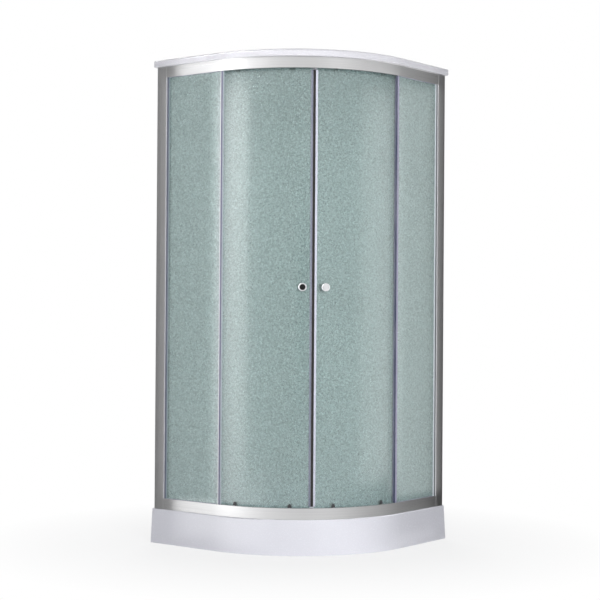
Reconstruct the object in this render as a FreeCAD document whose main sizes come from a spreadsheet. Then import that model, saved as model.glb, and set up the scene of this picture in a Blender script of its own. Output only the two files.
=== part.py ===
import FreeCAD
import Part
import Sketcher
import math
import os
import types

# Quarter-round shower cabin, in millimetres, +Z up.
# The origin is on the floor under the middle of the square footprint. The rear walls stand at -X and +Y and
# the rounded front points to +X -Y. Left and right are as seen by someone who faces the rounded front.
# An inset is a distance inwards from the outline of the tray's foot. Door angles are counted at the centre of
# the front arc, from the line where the two doors meet.

SIZES = {
    # Whole cabin
    "cabin_side": 900,
    "front_radius": 550,
    "frame_height": 1864,
    "cut_overrun": 4,
    # Tray
    "tray_height": 144,
    "skirt_draft": 10,
    "tray_wall": 5,
    "basin_depth": 60,
    "basin_front_inset": 95,
    "basin_rear_inset": 62,
    "basin_draft": 22,
    "rim_fillet": 6,
    "basin_corner_fillet": 45,
    "basin_rim_fillet": 9,
    "drain_setback": 320,
    "drain_hole_radius": 45,
    # Rails: a thin-walled section that holds the fixed glass in front and carries the rollers behind
    "rail_height": 45,
    "rail_inset": 12,
    "rail_wall": 2,
    "rail_groove_wall": 1.5,
    "track_inset": 43,
    "top_flange_inset": 59,
    # Glass and its gaskets
    "glass_thickness": 5,
    "outer_gasket": 3,
    "inner_gasket": 1.5,
    "gasket_lip": 1.5,
    "gasket_reveal": 19,
    "glass_edge_gap": 2,
    "fixed_glass_overrun": 19,
    # Seal on the free edge of each fixed glass
    "edge_seal_width": 11,
    "edge_seal_wall": 2,
    "edge_seal_lip": 6,
    # Posts
    "post_wall_inset": 10.5,
    "post_inset": 11,
    "post_width": 48.5,
    "post_depth": 39,
    "post_wall": 2,
    "glass_slot_depth": 15,
    # Rear walls and the column between them
    "rear_wall_inset": 12.5,
    "rear_wall_thickness": 5,
    "panel_slot_depth": 15,
    "panel_clearance": 0.3,
    "panel_edge_gap": 1,
    "column_width": 40,
    "column_flat": 11,
    # Screws that join the walls to the posts
    "screw_head_radius": 4,
    "screw_head_height": 2,
    "screw_radius": 2,
    "screw_length": 12,
    "screw_clearance": 0.1,
    "screw_end_distance": 160,
    # Roof
    "roof_rim_height": 30,
    "roof_wall": 5,
    "roof_bottom_fillet": 5,
    "roof_top_fillet": 10,
    "roof_underside_inset": 62,
    "dome_height": 25,
    "dome_front_inset": 110,
    "dome_rear_inset": 70,
    "dome_slope": 40,
    "dome_cavity_margin": 12,
    # Doors
    "door_glass_inset": 47.5,
    "door_overlap_angle": 2.5,
    "door_edge_angle": 0.95,
    "door_shoe_gap": 0.7,
    # Seals on the doors
    "meeting_angle": 0.02,
    "magnet_angle": 0.6,
    "profile_angle": 1.62,
    "door_seal_wall": 2,
    "door_seal_end_gap": 3,
    "trailing_seal_angle": 1.4,
    "trailing_cap_angle": 0.35,
    "trailing_lip_angle": 0.2,
    "trailing_lip": 7,
    # Rollers
    "lead_roller_angle": 10.2,
    "trail_roller_angle": 37,
    "wheel_radius": 12,
    "wheel_width": 7,
    "wheel_chamfer": 1.2,
    "wheel_inset": 36.6,
    "wheel_track_gap": 0.3,
    "wheel_headroom": 0.7,
    "wheel_side_gap": 0.3,
    "axle_radius": 3,
    "axle_fit": 0.05,
    "axle_collar_radius": 4.7,
    "axle_cap_length": 0.9,
    # Shoes that clamp the rollers to the door glass
    "shoe_width": 20,
    "shoe_plate": 4,
    "shoe_jaw": 3.5,
    "shoe_clearance": 0.3,
    "shoe_foot": 9,
    "shoe_plate_rise": 26,
    "shoe_jaw_rise": 25,
    "shoe_jaw_tip_width": 7,
    "upper_bridge": 3,
    "upper_bridge_gap": 1,
    "upper_plate_drop": 18,
    "upper_jaw_drop": 8,
    "upper_plate_rise": 6,
    # Knobs
    "knob_height": 1079,
    "knob_angle": 5.1,
    "knob_seat_gap": 0.2,
    "knob_base_radius": 12,
    "knob_base_thickness": 3,
    "knob_neck_radius": 8,
    "knob_neck_length": 14,
    "knob_head_radius": 17.5,
    "knob_head_length": 19,
    "knob_head_fillet": 5.5,
    "knob_dish_radius": 11,
    "knob_dish_depth": 1.2,
    "knob_bolt_radius": 3,
    "knob_bolt_grip": 16,
    "knob_bore_clearance": 0.05,
    "glass_hole_radius": 5,
    # Stops in the upper track
    "stop_post_gap": 109,
    "stop_length": 12,
    "stop_height": 15,
    "stop_width": 10,
    "stop_track_margin": 2,
    # Feet and support bars under the tray
    "bar_width": 30,
    "bar_height": 20,
    "bar_side_clearance": 50,
    "front_bar_setback": 320,
    "front_bar_end_setback": 150,
    "rear_bar_setback": 120,
    "leg_radius": 6,
    "leg_clearance": 0.1,
    "leg_end_gap": 2,
    "leg_bar_margin": 40,
    "foot_radius": 25,
    "foot_base": 6,
    "foot_floor": 4,
    "foot_boss_radius": 12,
    "foot_boss_height": 10,
    "nut_radius": 11,
    "nut_height": 10,
    # Drain
    "trap_radius": 50,
    "trap_wall": 4,
    "trap_floor_gap": 16,
    "trap_top_gap": 2,
    "neck_radius": 42,
    "neck_wall": 4,
    "spigot_radius": 20,
    "spigot_length": 60,
    "spigot_drop": 38,
    "spigot_wall": 3,
    "spigot_collar_radius": 24,
    "spigot_collar_length": 6,
    "flange_radius": 56,
    "flange_thickness": 3,
    "flange_bevel": 1,
    "flange_sleeve_wall": 2,
    "flange_sleeve_length": 13,
    "flange_fit": 0.2,
    "cover_radius": 52,
    "cover_gap": 3,
    "cover_edge": 3,
    "cover_crown": 3,
    "cover_hub_wall": 3.5,
    "cover_hub_length": 13,
    "cover_hub_fit": 0.3,
    "cover_slot_width": 12,
    "cover_slot_height": 9,
    # Mixer
    "mixer_setback": 360,
    "mixer_height": 1050,
    "mixer_wall_gap": 62,
    "mixer_half_length": 95,
    "mixer_radius": 23,
    "mixer_bevel": 3,
    "inlet_half_spacing": 75,
    "inlet_radius": 13,
    "inlet_length": 50,
    "union_radius": 12,
    "union_wall_hole_radius": 12.5,
    "union_rear_gap": 1,
    "union_thread_radius": 9.5,
    "union_thread_depth": 14,
    "rosette_radius": 33,
    "rosette_front_radius": 24,
    "rosette_fit": 0.3,
    "cartridge_boss_radius": 24,
    "cartridge_boss_length": 36,
    "outlet_boss_radius": 14,
    "outlet_boss_length": 34,
    # Mixer swivel and lever
    "swivel_pin_radius": 9,
    "swivel_pin_length": 12,
    "swivel_end_gap": 2,
    "swivel_fit": 0.05,
    "swivel_face_gap": 0.3,
    "swivel_radius": 23,
    "swivel_length": 14,
    "swivel_bevel": 3,
    "ear_gap": 6.5,
    "ear_thickness": 5,
    "ear_reach": 20,
    "ear_half_height": 8,
    "lever_pin_radius": 3,
    "lever_pin_reach": 12,
    "lever_fit": 0.05,
    "lever_side_gap": 0.4,
    "lever_hub_radius": 7,
    "lever_length": 104,
    "lever_lean": 28,
    "lever_thickness": 9,
    "lever_root": 12,
    # Riser pipe and its brackets
    "pipe_radius": 10,
    "pipe_bore_radius": 8,
    "pipe_fit": 0.1,
    "pipe_socket_depth": 12,
    "pipe_rise": 880,
    "pipe_reach": 250,
    "pipe_rear_bend": 80,
    "pipe_front_bend": 40,
    "pipe_drop": 52,
    "eye_radius": 11,
    "eye_half_width": 5,
    "bracket_half_width": 15,
    "bracket_height": 20,
    "bracket_front": 15,
    "lower_bracket_rise": 250,
    "upper_bracket_rise": 700,
    # Shower head
    "head_radius": 100,
    "head_edge": 6,
    "head_thickness": 14,
    "head_neck_radius": 16,
    "head_neck_height": 10,
    "head_drop": 22,
    "head_ear_gap": 5.4,
    "head_ear_thickness": 4,
    "head_ear_half_depth": 7,
    "head_ear_rise": 5,
    "head_pin_radius": 3,
    "head_pin_fit": 0.05,
}

document = FreeCAD.newDocument("ShowerCabin")
sheet = document.addObject("Spreadsheet::Sheet", "Sizes")


class Size:
    """A number together with the spreadsheet formula that gives it."""

    def __init__(self, value, formula):
        self.value = value
        self.formula = formula

    def __add__(self, other):
        other = as_size(other)
        return Size(self.value + other.value, f"({self.formula} + {other.formula})")

    def __sub__(self, other):
        other = as_size(other)
        return Size(self.value - other.value, f"({self.formula} - {other.formula})")

    def __mul__(self, other):
        other = as_size(other)
        return Size(self.value * other.value, f"({self.formula} * {other.formula})")

    def __truediv__(self, other):
        other = as_size(other)
        return Size(self.value / other.value, f"({self.formula} / {other.formula})")

    def __neg__(self):
        return Size(-self.value, f"(0 - {self.formula})")


def as_size(amount):
    if isinstance(amount, Size):
        return amount
    return Size(amount, str(amount))


def fill_sheet():
    named = {}
    for row, (name, value) in enumerate(SIZES.items(), start=1):
        sheet.set(f"A{row}", name)
        sheet.set(f"B{row}", str(value))
        sheet.setAlias(f"B{row}", name)
        named[name] = Size(value, f"Sizes.{name}")
    document.recompute()
    return types.SimpleNamespace(**named)


size = fill_sheet()

# Places that several pieces share
half = size.cabin_side / 2
arc_offset = size.front_radius - half
frame_bottom = size.tray_height
frame_top = size.tray_height + size.frame_height
lower_rail_top = frame_bottom + size.rail_height
upper_rail_bottom = frame_top - size.rail_height
wheel_space = size.wheel_radius * 2 + size.wheel_track_gap + size.wheel_headroom
lower_track = lower_rail_top - wheel_space
upper_track = frame_top - size.rail_wall - wheel_space
lower_axle = lower_track + size.wheel_track_gap + size.wheel_radius
upper_axle = upper_track + size.wheel_track_gap + size.wheel_radius
gasket_start = size.rail_inset + size.rail_wall
glass_start = gasket_start + size.outer_gasket
glass_end = glass_start + size.glass_thickness
gasket_end = glass_end + size.inner_gasket
groove_end = gasket_end + size.rail_groove_wall
post_start = size.post_wall_inset - half
post_end = post_start + size.post_width
post_rear = size.post_inset + size.post_depth
wall_outer = size.rear_wall_inset
wall_inner = size.rear_wall_inset + size.rear_wall_thickness
basin_floor = size.tray_height - size.basin_depth
tray_underside = basin_floor - size.tray_wall
door_glass_end = size.door_glass_inset + size.glass_thickness
door_bottom = lower_axle + size.axle_collar_radius + size.door_shoe_gap
door_top = upper_track - size.rail_wall - size.upper_bridge_gap - size.upper_bridge
drain_x = size.drain_setback - half
drain_y = half - size.drain_setback
mixer_x = size.mixer_setback - half
mixer_y = half - wall_inner - size.mixer_wall_gap
screw_depth = post_rear - half - size.panel_slot_depth / 2
lowest_screw = frame_bottom + size.screw_end_distance
highest_screw = frame_top - size.screw_end_distance
screw_levels = (lowest_screw, (lowest_screw + highest_screw) / 2, highest_screw)

UP = FreeCAD.Vector(0, 0, 1)
ALONG_X = FreeCAD.Vector(1, 0, 0)
ALONG_Y = FreeCAD.Vector(0, 1, 0)
FULL_TURN = 360
QUARTER_TURN = 90
THREE_QUARTER_TURN = 270
MEETING_DIRECTION = 315
SIDES = ("left", "right")

nodes = []


def bind(item, path, amount):
    item.setExpression(path, as_size(amount).formula)


def place(item, x, y, z, turn=0, axis=UP):
    x, y, z, turn = as_size(x), as_size(y), as_size(z), as_size(turn)
    spot = FreeCAD.Vector(x.value, y.value, z.value)
    item.Placement = FreeCAD.Placement(spot, FreeCAD.Rotation(axis, turn.value))
    bind(item, "Placement.Base.x", x)
    bind(item, "Placement.Base.y", y)
    bind(item, "Placement.Base.z", z)
    bind(item, "Placement.Rotation.Angle", turn)
    return item


def finish(item, label):
    item.Label = label
    nodes.append(item)
    return item


def group(label, items):
    compound = document.addObject("Part::Compound", label)
    compound.Links = items
    return finish(compound, label)


# Sketches


def new_body(name):
    return document.addObject("PartDesign::Body", name)


def new_sketch(body, name, role, offset=0):
    sketch = body.newObject("Sketcher::SketchObject", name)
    plane = [feature for feature in body.Origin.OriginFeatures if feature.Role == role][0]
    sketch.AttachmentSupport = (plane, [""])
    sketch.MapMode = "FlatFace"
    bind(sketch, "AttachmentOffset.Base.z", offset)
    return sketch


def hold(sketch, kind, geometry, point, amount):
    amount = as_size(amount)
    if amount.value == 0:
        axis = -2 if kind == "DistanceX" else -1
        sketch.addConstraint(Sketcher.Constraint("PointOnObject", geometry, point, axis))
        return
    index = sketch.addConstraint(Sketcher.Constraint(kind, -1, 1, geometry, point, amount.value))
    bind(sketch, f"Constraints[{index}]", amount)


def join(sketch, first, first_point, second, second_point):
    sketch.addConstraint(Sketcher.Constraint("Coincident", first, first_point, second, second_point))


def vector(x, y):
    return FreeCAD.Vector(as_size(x).value, as_size(y).value, 0)


def add_line(sketch, start, end):
    return sketch.addGeometry(Part.LineSegment(vector(*start), vector(*end)), False)


def add_arc(sketch, centre, radius, start_angle, end_angle):
    circle = Part.Circle(vector(*centre), UP, as_size(radius).value)
    arc = Part.ArcOfCircle(circle, math.radians(start_angle), math.radians(end_angle))
    index = sketch.addGeometry(arc, False)
    hold(sketch, "DistanceX", index, 3, centre[0])
    hold(sketch, "DistanceY", index, 3, centre[1])
    return index


def add_polygon(sketch, points):
    count = len(points)
    lines = [add_line(sketch, points[i], points[(i + 1) % count]) for i in range(count)]
    for i in range(count):
        join(sketch, lines[i], 2, lines[(i + 1) % count], 1)
    for line, (x, y) in zip(lines, points):
        hold(sketch, "DistanceX", line, 1, x)
        hold(sketch, "DistanceY", line, 1, y)


def add_circle(sketch, x, y, radius):
    circle = Part.Circle(vector(x, y), UP, radius.value)
    index = sketch.addGeometry(circle, False)
    hold(sketch, "DistanceX", index, 3, x)
    hold(sketch, "DistanceY", index, 3, y)
    rule = sketch.addConstraint(Sketcher.Constraint("Radius", index, radius.value))
    bind(sketch, f"Constraints[{rule}]", radius)


def rectangle(x0, y0, x1, y1):
    return [(x0, y0), (x1, y0), (x1, y1), (x0, y1)]


def front_run(sketch, inset, left_end, right_end):
    """The front line at an inset: straight, a quarter arc, straight. Returns its two straight lines."""
    inset = as_size(inset)
    front = inset - half
    side = half - inset
    first = add_line(sketch, (left_end, front), (-arc_offset, front))
    arc = add_arc(sketch, (-arc_offset, arc_offset), size.front_radius - inset, -QUARTER_TURN, 0)
    last = add_line(sketch, (side, arc_offset), (side, right_end))
    join(sketch, first, 2, arc, 1)
    join(sketch, arc, 2, last, 1)
    sketch.addConstraint(Sketcher.Constraint("Horizontal", first))
    sketch.addConstraint(Sketcher.Constraint("Vertical", last))
    hold(sketch, "DistanceY", first, 1, front)
    hold(sketch, "DistanceX", first, 2, -arc_offset)
    hold(sketch, "DistanceY", last, 1, arc_offset)
    return first, last


def add_quadrant(sketch, front_inset, rear_inset):
    """Closed plan outline: two straight rear sides and the front line."""
    left_end = as_size(rear_inset) - half
    right_end = half - rear_inset
    front = as_size(front_inset) - half
    first, last = front_run(sketch, front_inset, left_end, right_end)
    rear = add_line(sketch, (-front, right_end), (left_end, right_end))
    left = add_line(sketch, (left_end, right_end), (left_end, front))
    join(sketch, last, 2, rear, 1)
    join(sketch, rear, 2, left, 1)
    join(sketch, left, 2, first, 1)
    sketch.addConstraint(Sketcher.Constraint("Horizontal", rear))
    sketch.addConstraint(Sketcher.Constraint("Vertical", left))
    hold(sketch, "DistanceX", left, 1, left_end)
    hold(sketch, "DistanceY", left, 1, right_end)


def quadrant_sketch(body, name, front_inset, rear_inset, height):
    sketch = new_sketch(body, name, "XY_Plane", height)
    add_quadrant(sketch, front_inset, rear_inset)
    return sketch


def band_sketch(body, name, outer_inset, inner_inset, height, end_inset):
    """A strip of even width that follows the front line between two insets."""
    sketch = new_sketch(body, name, "XY_Plane", height)
    left_end = end_inset - half
    right_end = half - end_inset
    outer_first, outer_last = front_run(sketch, outer_inset, left_end, right_end)
    inner_first, inner_last = front_run(sketch, inner_inset, left_end, right_end)
    outer = as_size(outer_inset) - half
    inner = as_size(inner_inset) - half
    left = add_line(sketch, (left_end, outer), (left_end, inner))
    right = add_line(sketch, (-outer, right_end), (-inner, right_end))
    join(sketch, left, 1, outer_first, 1)
    join(sketch, left, 2, inner_first, 1)
    join(sketch, right, 1, outer_last, 2)
    join(sketch, right, 2, inner_last, 2)
    hold(sketch, "DistanceX", outer_first, 1, left_end)
    hold(sketch, "DistanceX", inner_first, 1, left_end)
    hold(sketch, "DistanceY", outer_last, 2, right_end)
    hold(sketch, "DistanceY", inner_last, 2, right_end)
    return sketch


# Features


def new_feature(body, kind, name, sketch):
    feature = body.newObject(f"PartDesign::{kind}", name)
    feature.Profile = (sketch, [""])
    return feature


def pad(body, name, sketch, length, reverse=False):
    feature = new_feature(body, "Pad", name, sketch)
    bind(feature, "Length", length)
    feature.Reversed = reverse
    return feature


def pocket(body, name, sketch, length, reverse=False):
    document.recompute()
    before = body.Shape.Volume
    feature = new_feature(body, "Pocket", name, sketch)
    bind(feature, "Length", length)
    feature.Reversed = reverse
    document.recompute()
    if body.Shape.Volume >= before:
        raise RuntimeError(f"{name} removed nothing")
    return feature


def revolve(body, name, sketch, axis):
    feature = new_feature(body, "Revolution", name, sketch)
    feature.ReferenceAxis = (sketch, [axis])
    feature.Angle = FULL_TURN
    return feature


def loft(body, name, kind, first, second):
    feature = new_feature(body, kind, name, first)
    feature.Sections = [(second, [""])]
    feature.Ruled = True
    return feature


def fillet(body, name, base, radius, test):
    document.recompute()
    edges = [f"Edge{i}" for i, edge in enumerate(base.Shape.Edges, start=1) if test(edge)]
    if not edges:
        raise RuntimeError(f"{name} found no edges")
    feature = body.newObject("PartDesign::Fillet", name)
    feature.Base = (base, edges)
    bind(feature, "Radius", radius)
    return feature


def pad_polygon(body, name, role, offset, points, length):
    sketch = new_sketch(body, f"{name}_sketch", role, offset)
    add_polygon(sketch, points)
    return pad(body, name, sketch, length)


def pad_circle(body, name, role, offset, x, y, radius, length, reverse=False):
    sketch = new_sketch(body, f"{name}_sketch", role, offset)
    add_circle(sketch, x, y, radius)
    return pad(body, name, sketch, length, reverse)


def pocket_circle(body, name, role, offset, x, y, radius, length, reverse=False):
    sketch = new_sketch(body, f"{name}_sketch", role, offset)
    add_circle(sketch, x, y, radius)
    return pocket(body, name, sketch, length, reverse)


def box(name, x0, y0, z0, x1, y1, z1):
    item = document.addObject("Part::Box", name)
    bind(item, "Length", as_size(x1) - x0)
    bind(item, "Width", as_size(y1) - y0)
    bind(item, "Height", as_size(z1) - z0)
    return place(item, x0, y0, z0)


def cylinder(name, radius, height, x, y, z, turn=0, axis=UP):
    item = document.addObject("Part::Cylinder", name)
    bind(item, "Radius", radius)
    bind(item, "Height", height)
    return place(item, x, y, z, turn, axis)


def cut(name, base, tool):
    item = document.addObject("Part::Cut", name)
    item.Base = base
    item.Tool = tool
    return item


def fuse(name, base, tool):
    item = document.addObject("Part::Fuse", name)
    item.Base = base
    item.Tool = tool
    return item


# Left and right pieces


def for_side(side, points):
    """Plan points drawn for the left, mirrored in the diagonal for the right."""
    if side == "left":
        return points
    return [(-as_size(y), -as_size(x)) for x, y in points]


def side_box(name, side, x0, y0, z0, x1, y1, z1):
    if side == "left":
        return box(name, x0, y0, z0, x1, y1, z1)
    return box(name, -as_size(y1), -as_size(x1), z0, -as_size(y0), -as_size(x0), z1)


def door_turn(side, angle):
    if side == "left":
        return as_size(MEETING_DIRECTION) - angle
    return as_size(MEETING_DIRECTION) + angle


def sector(name, side, outer_inset, inner_inset, z0, z1, from_angle, to_angle):
    """A curved plate about the centre of the front arc, between two insets and two door angles."""
    from_angle = as_size(from_angle)
    outer = document.addObject("Part::Cylinder", f"{name}_outer")
    bind(outer, "Radius", size.front_radius - outer_inset)
    bind(outer, "Height", z1 - z0)
    bind(outer, "Angle", to_angle - from_angle)
    place(outer, -arc_offset, arc_offset, z0, door_turn(side, to_angle if side == "left" else from_angle))
    inner_height = z1 - z0 + size.cut_overrun * 2
    inner = cylinder(f"{name}_inner", size.front_radius - inner_inset, inner_height,
                     -arc_offset, arc_offset, z0 - size.cut_overrun)
    return cut(name, outer, inner)


def radius_at(inset):
    return size.front_radius - inset


# Tests that find edges


def front_inset_of(point):
    if point.x < -arc_offset.value:
        return half.value + point.y
    if point.y > arc_offset.value:
        return half.value - point.x
    reach = math.hypot(point.x + arc_offset.value, point.y - arc_offset.value)
    return size.front_radius.value - reach


def middle_of(edge):
    return edge.valueAt((edge.FirstParameter + edge.LastParameter) / 2)


NEAR = 1e-4


def level_edge(edge, height):
    return all(abs(vertex.Point.z - height.value) < NEAR for vertex in edge.Vertexes)


def on_front(edge, height, inset):
    if not level_edge(edge, height):
        return False
    return abs(front_inset_of(middle_of(edge)) - as_size(inset).value) < NEAR


# Tray


def make_tray():
    body = new_body("shower_tray")
    foot = quadrant_sketch(body, "tray_foot", 0, 0, 0)
    top = quadrant_sketch(body, "tray_top", size.skirt_draft, 0, size.tray_height)
    loft(body, "tray_block", "AdditiveLoft", foot, top)
    rim = quadrant_sketch(body, "basin_rim", size.basin_front_inset, size.basin_rear_inset, size.tray_height)
    floor_front = size.basin_front_inset + size.basin_draft
    floor_rear = size.basin_rear_inset + size.basin_draft
    floor = quadrant_sketch(body, "basin_floor", floor_front, floor_rear, basin_floor)
    basin = loft(body, "basin", "SubtractiveLoft", rim, floor)

    def rim_edge(edge):
        return on_front(edge, size.tray_height, size.skirt_draft)

    def basin_corner(edge):
        heights = sorted(vertex.Point.z for vertex in edge.Vertexes)
        return abs(heights[0] - basin_floor.value) < NEAR and abs(heights[-1] - size.tray_height.value) < NEAR

    def basin_edge(edge):
        middle = middle_of(edge)
        inside = front_inset_of(middle) > size.rim_fillet.value + size.skirt_draft.value + NEAR
        from_wall = min(half.value + middle.x, half.value - middle.y)
        return level_edge(edge, size.tray_height) and inside and from_wall > NEAR

    cornered = fillet(body, "basin_corners", basin, size.basin_corner_fillet, basin_corner)
    softened = fillet(body, "basin_rim_edge", cornered, size.basin_rim_fillet, basin_edge)
    fillet(body, "tray_rim_edge", softened, size.rim_fillet, rim_edge)
    skirt_inside = size.skirt_draft + size.tray_wall
    open_rear = -size.cut_overrun
    hollow_foot = quadrant_sketch(body, "hollow_foot", size.tray_wall, open_rear, 0)
    hollow_top = quadrant_sketch(body, "hollow_top", skirt_inside, open_rear, tray_underside)
    loft(body, "tray_hollow", "SubtractiveLoft", hollow_foot, hollow_top)
    ring = new_sketch(body, "rim_hollow_sketch", "XY_Plane", tray_underside)
    add_quadrant(ring, skirt_inside, size.tray_wall)
    add_quadrant(ring, size.basin_front_inset - size.tray_wall, size.basin_rear_inset - size.tray_wall)
    pocket(body, "rim_hollow", ring, size.basin_depth, reverse=True)
    pocket_circle(body, "drain_hole", "XY_Plane", size.tray_height, drain_x, drain_y,
                  size.drain_hole_radius, size.basin_depth + size.tray_wall + size.cut_overrun)
    finish(body, "shower_tray")


def make_support():
    bar_bottom = tray_underside - size.bar_height
    left_end = size.bar_side_clearance - half
    bars = []
    legs = []
    nuts = []
    pads = []
    rows = (
        ("front", size.front_bar_setback - half, half - size.front_bar_end_setback, 2),
        ("rear", half - size.rear_bar_setback, -left_end, 3),
    )
    for row, y, right_end, count in rows:
        bar = new_body(f"{row}_support_bar")
        sketch = new_sketch(bar, f"{row}_bar_sketch", "XY_Plane", bar_bottom)
        add_polygon(sketch, rectangle(left_end, y - size.bar_width / 2, right_end, y + size.bar_width / 2))
        first_leg = left_end + size.leg_bar_margin
        step = (right_end - size.leg_bar_margin - first_leg) / (count - 1)
        for i in range(count):
            x = first_leg + step * i
            add_circle(sketch, x, y, size.leg_radius + size.leg_clearance)
            leg_top = tray_underside - size.leg_end_gap
            legs.append(cylinder(f"{row}_leg_{i}", size.leg_radius, leg_top - size.foot_floor,
                                 x, y, size.foot_floor))
            nut = document.addObject("Part::Prism", f"{row}_nut_{i}_block")
            nut.Polygon = 6
            bind(nut, "Circumradius", size.nut_radius)
            bind(nut, "Height", size.nut_height)
            nut_bottom = bar_bottom - size.nut_height
            place(nut, x, y, nut_bottom)
            bore = cylinder(f"{row}_nut_{i}_bore", size.leg_radius + size.leg_clearance,
                            size.nut_height + size.cut_overrun * 2, x, y, nut_bottom - size.cut_overrun)
            nuts.append(cut(f"{row}_nut_{i}", nut, bore))
            foot = new_body(f"{row}_foot_{i}")
            profile = new_sketch(foot, f"{row}_foot_{i}_sketch", "XZ_Plane")
            socket = size.leg_radius + size.leg_clearance
            foot_top = size.foot_base + size.foot_boss_height
            add_polygon(profile, [
                (0, 0),
                (size.foot_radius, 0),
                (size.foot_radius, size.foot_base),
                (size.foot_boss_radius, size.foot_base),
                (size.foot_boss_radius, foot_top),
                (socket, foot_top),
                (socket, size.foot_floor),
                (0, size.foot_floor),
            ])
            revolve(foot, f"{row}_foot_{i}_turned", profile, "V_Axis")
            pads.append(place(foot, x, y, 0))
        pad(bar, f"{row}_bar_pad", sketch, size.bar_height)
        bars.append(bar)
    group("support_bars", bars)
    group("threaded_legs", legs)
    group("leg_lock_nuts", nuts)
    group("foot_pads", pads)


def make_drain():
    trap = new_body("drain_trap")
    cup = new_sketch(trap, "trap_sketch", "XZ_Plane")
    bottom = size.trap_floor_gap
    shoulder = tray_underside - size.trap_top_gap
    throat = size.neck_radius - size.neck_wall
    inside = size.trap_radius - size.trap_wall
    add_polygon(cup, [
        (0, bottom),
        (size.trap_radius, bottom),
        (size.trap_radius, shoulder),
        (size.neck_radius, shoulder),
        (size.neck_radius, basin_floor),
        (throat, basin_floor),
        (throat, shoulder - size.trap_wall),
        (inside, shoulder - size.trap_wall),
        (inside, bottom + size.trap_wall),
        (0, bottom + size.trap_wall),
    ])
    revolve(trap, "trap_cup", cup, "V_Axis")
    spigot_height = tray_underside - size.spigot_drop
    spigot_end = -size.trap_radius - size.spigot_length
    root = size.trap_radius - size.trap_wall / 2
    pad_circle(trap, "spigot", "YZ_Plane", spigot_end, 0, spigot_height, size.spigot_radius,
               -spigot_end - root)
    collar_end = -size.trap_radius - size.spigot_collar_length
    pad_circle(trap, "spigot_collar", "YZ_Plane", collar_end, 0, spigot_height, size.spigot_collar_radius,
               -collar_end - root)
    pocket_circle(trap, "spigot_bore", "YZ_Plane", spigot_end, 0, spigot_height,
                  size.spigot_radius - size.spigot_wall, -spigot_end - inside + size.trap_wall, reverse=True)
    place(trap, drain_x, drain_y, 0)
    finish(trap, "drain_trap")

    flange = new_body("drain_flange")
    ring = new_sketch(flange, "flange_sketch", "XZ_Plane", 0)
    sleeve = throat - size.flange_fit
    bore = sleeve - size.flange_sleeve_wall
    top = basin_floor + size.flange_thickness
    add_polygon(ring, [
        (bore, basin_floor - size.flange_sleeve_length),
        (sleeve, basin_floor - size.flange_sleeve_length),
        (sleeve, basin_floor),
        (size.flange_radius, basin_floor),
        (size.flange_radius, top - size.flange_bevel),
        (size.flange_radius - size.flange_bevel, top),
        (bore, top),
    ])
    revolve(flange, "flange_turned", ring, "V_Axis")
    place(flange, drain_x, drain_y, 0)
    finish(flange, "drain_flange")

    cover = new_body("drain_cover")
    dome = new_sketch(cover, "cover_sketch", "XZ_Plane", 0)
    under = top + size.cover_gap
    hub = bore - size.cover_hub_fit
    hub_bottom = under - size.cover_hub_length
    add_polygon(dome, [
        (0, under),
        (hub - size.cover_hub_wall, under),
        (hub - size.cover_hub_wall, hub_bottom),
        (hub, hub_bottom),
        (hub, under),
        (size.cover_radius, under),
        (size.cover_radius, under + size.cover_edge),
        (0, under + size.cover_edge + size.cover_crown),
    ])
    revolve(cover, "cover_turned", dome, "V_Axis")
    slot = new_sketch(cover, "cover_slot_sketch", "YZ_Plane", 0)
    slot_top = under
    add_polygon(slot, rectangle(-size.cover_slot_width / 2, slot_top - size.cover_slot_height,
                                size.cover_slot_width / 2, slot_top))
    slot_cut = pocket(cover, "cover_slot", slot, size.cover_radius, reverse=True)
    pattern = cover.newObject("PartDesign::PolarPattern", "cover_slots")
    pattern.Originals = [slot_cut]
    pattern.Axis = (dome, ["V_Axis"])
    pattern.Angle = FULL_TURN
    pattern.Occurrences = 6
    cover.Tip = pattern
    place(cover, drain_x, drain_y, 0)
    finish(cover, "drain_cover")


# Frame


def make_rail(name, strips):
    body = new_body(name)
    for label, outer, inner, z0, z1 in strips:
        sketch = band_sketch(body, f"{name}_{label}_sketch", outer, inner, z0, half + post_end)
        pad(body, f"{name}_{label}", sketch, z1 - z0)
    finish(body, name)


def make_rails():
    face = size.rail_inset
    wall = size.rail_wall
    web = size.track_inset - wall
    make_rail("bottom_rail", (
        ("face", face, face + wall, frame_bottom, lower_rail_top),
        ("base", face, size.track_inset, frame_bottom, frame_bottom + wall),
        ("track", face, size.track_inset, lower_track - wall, lower_track),
        ("web", web, size.track_inset, frame_bottom, lower_track),
        ("groove", gasket_end, groove_end, lower_track - wall, lower_rail_top),
    ))
    make_rail("top_rail", (
        ("face", face, face + wall, upper_rail_bottom, frame_top),
        ("flange", face, size.top_flange_inset, frame_top - wall, frame_top),
        ("track", face, size.track_inset, upper_track - wall, upper_track),
        ("groove", gasket_end, groove_end, upper_rail_bottom, upper_track),
    ))


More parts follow.
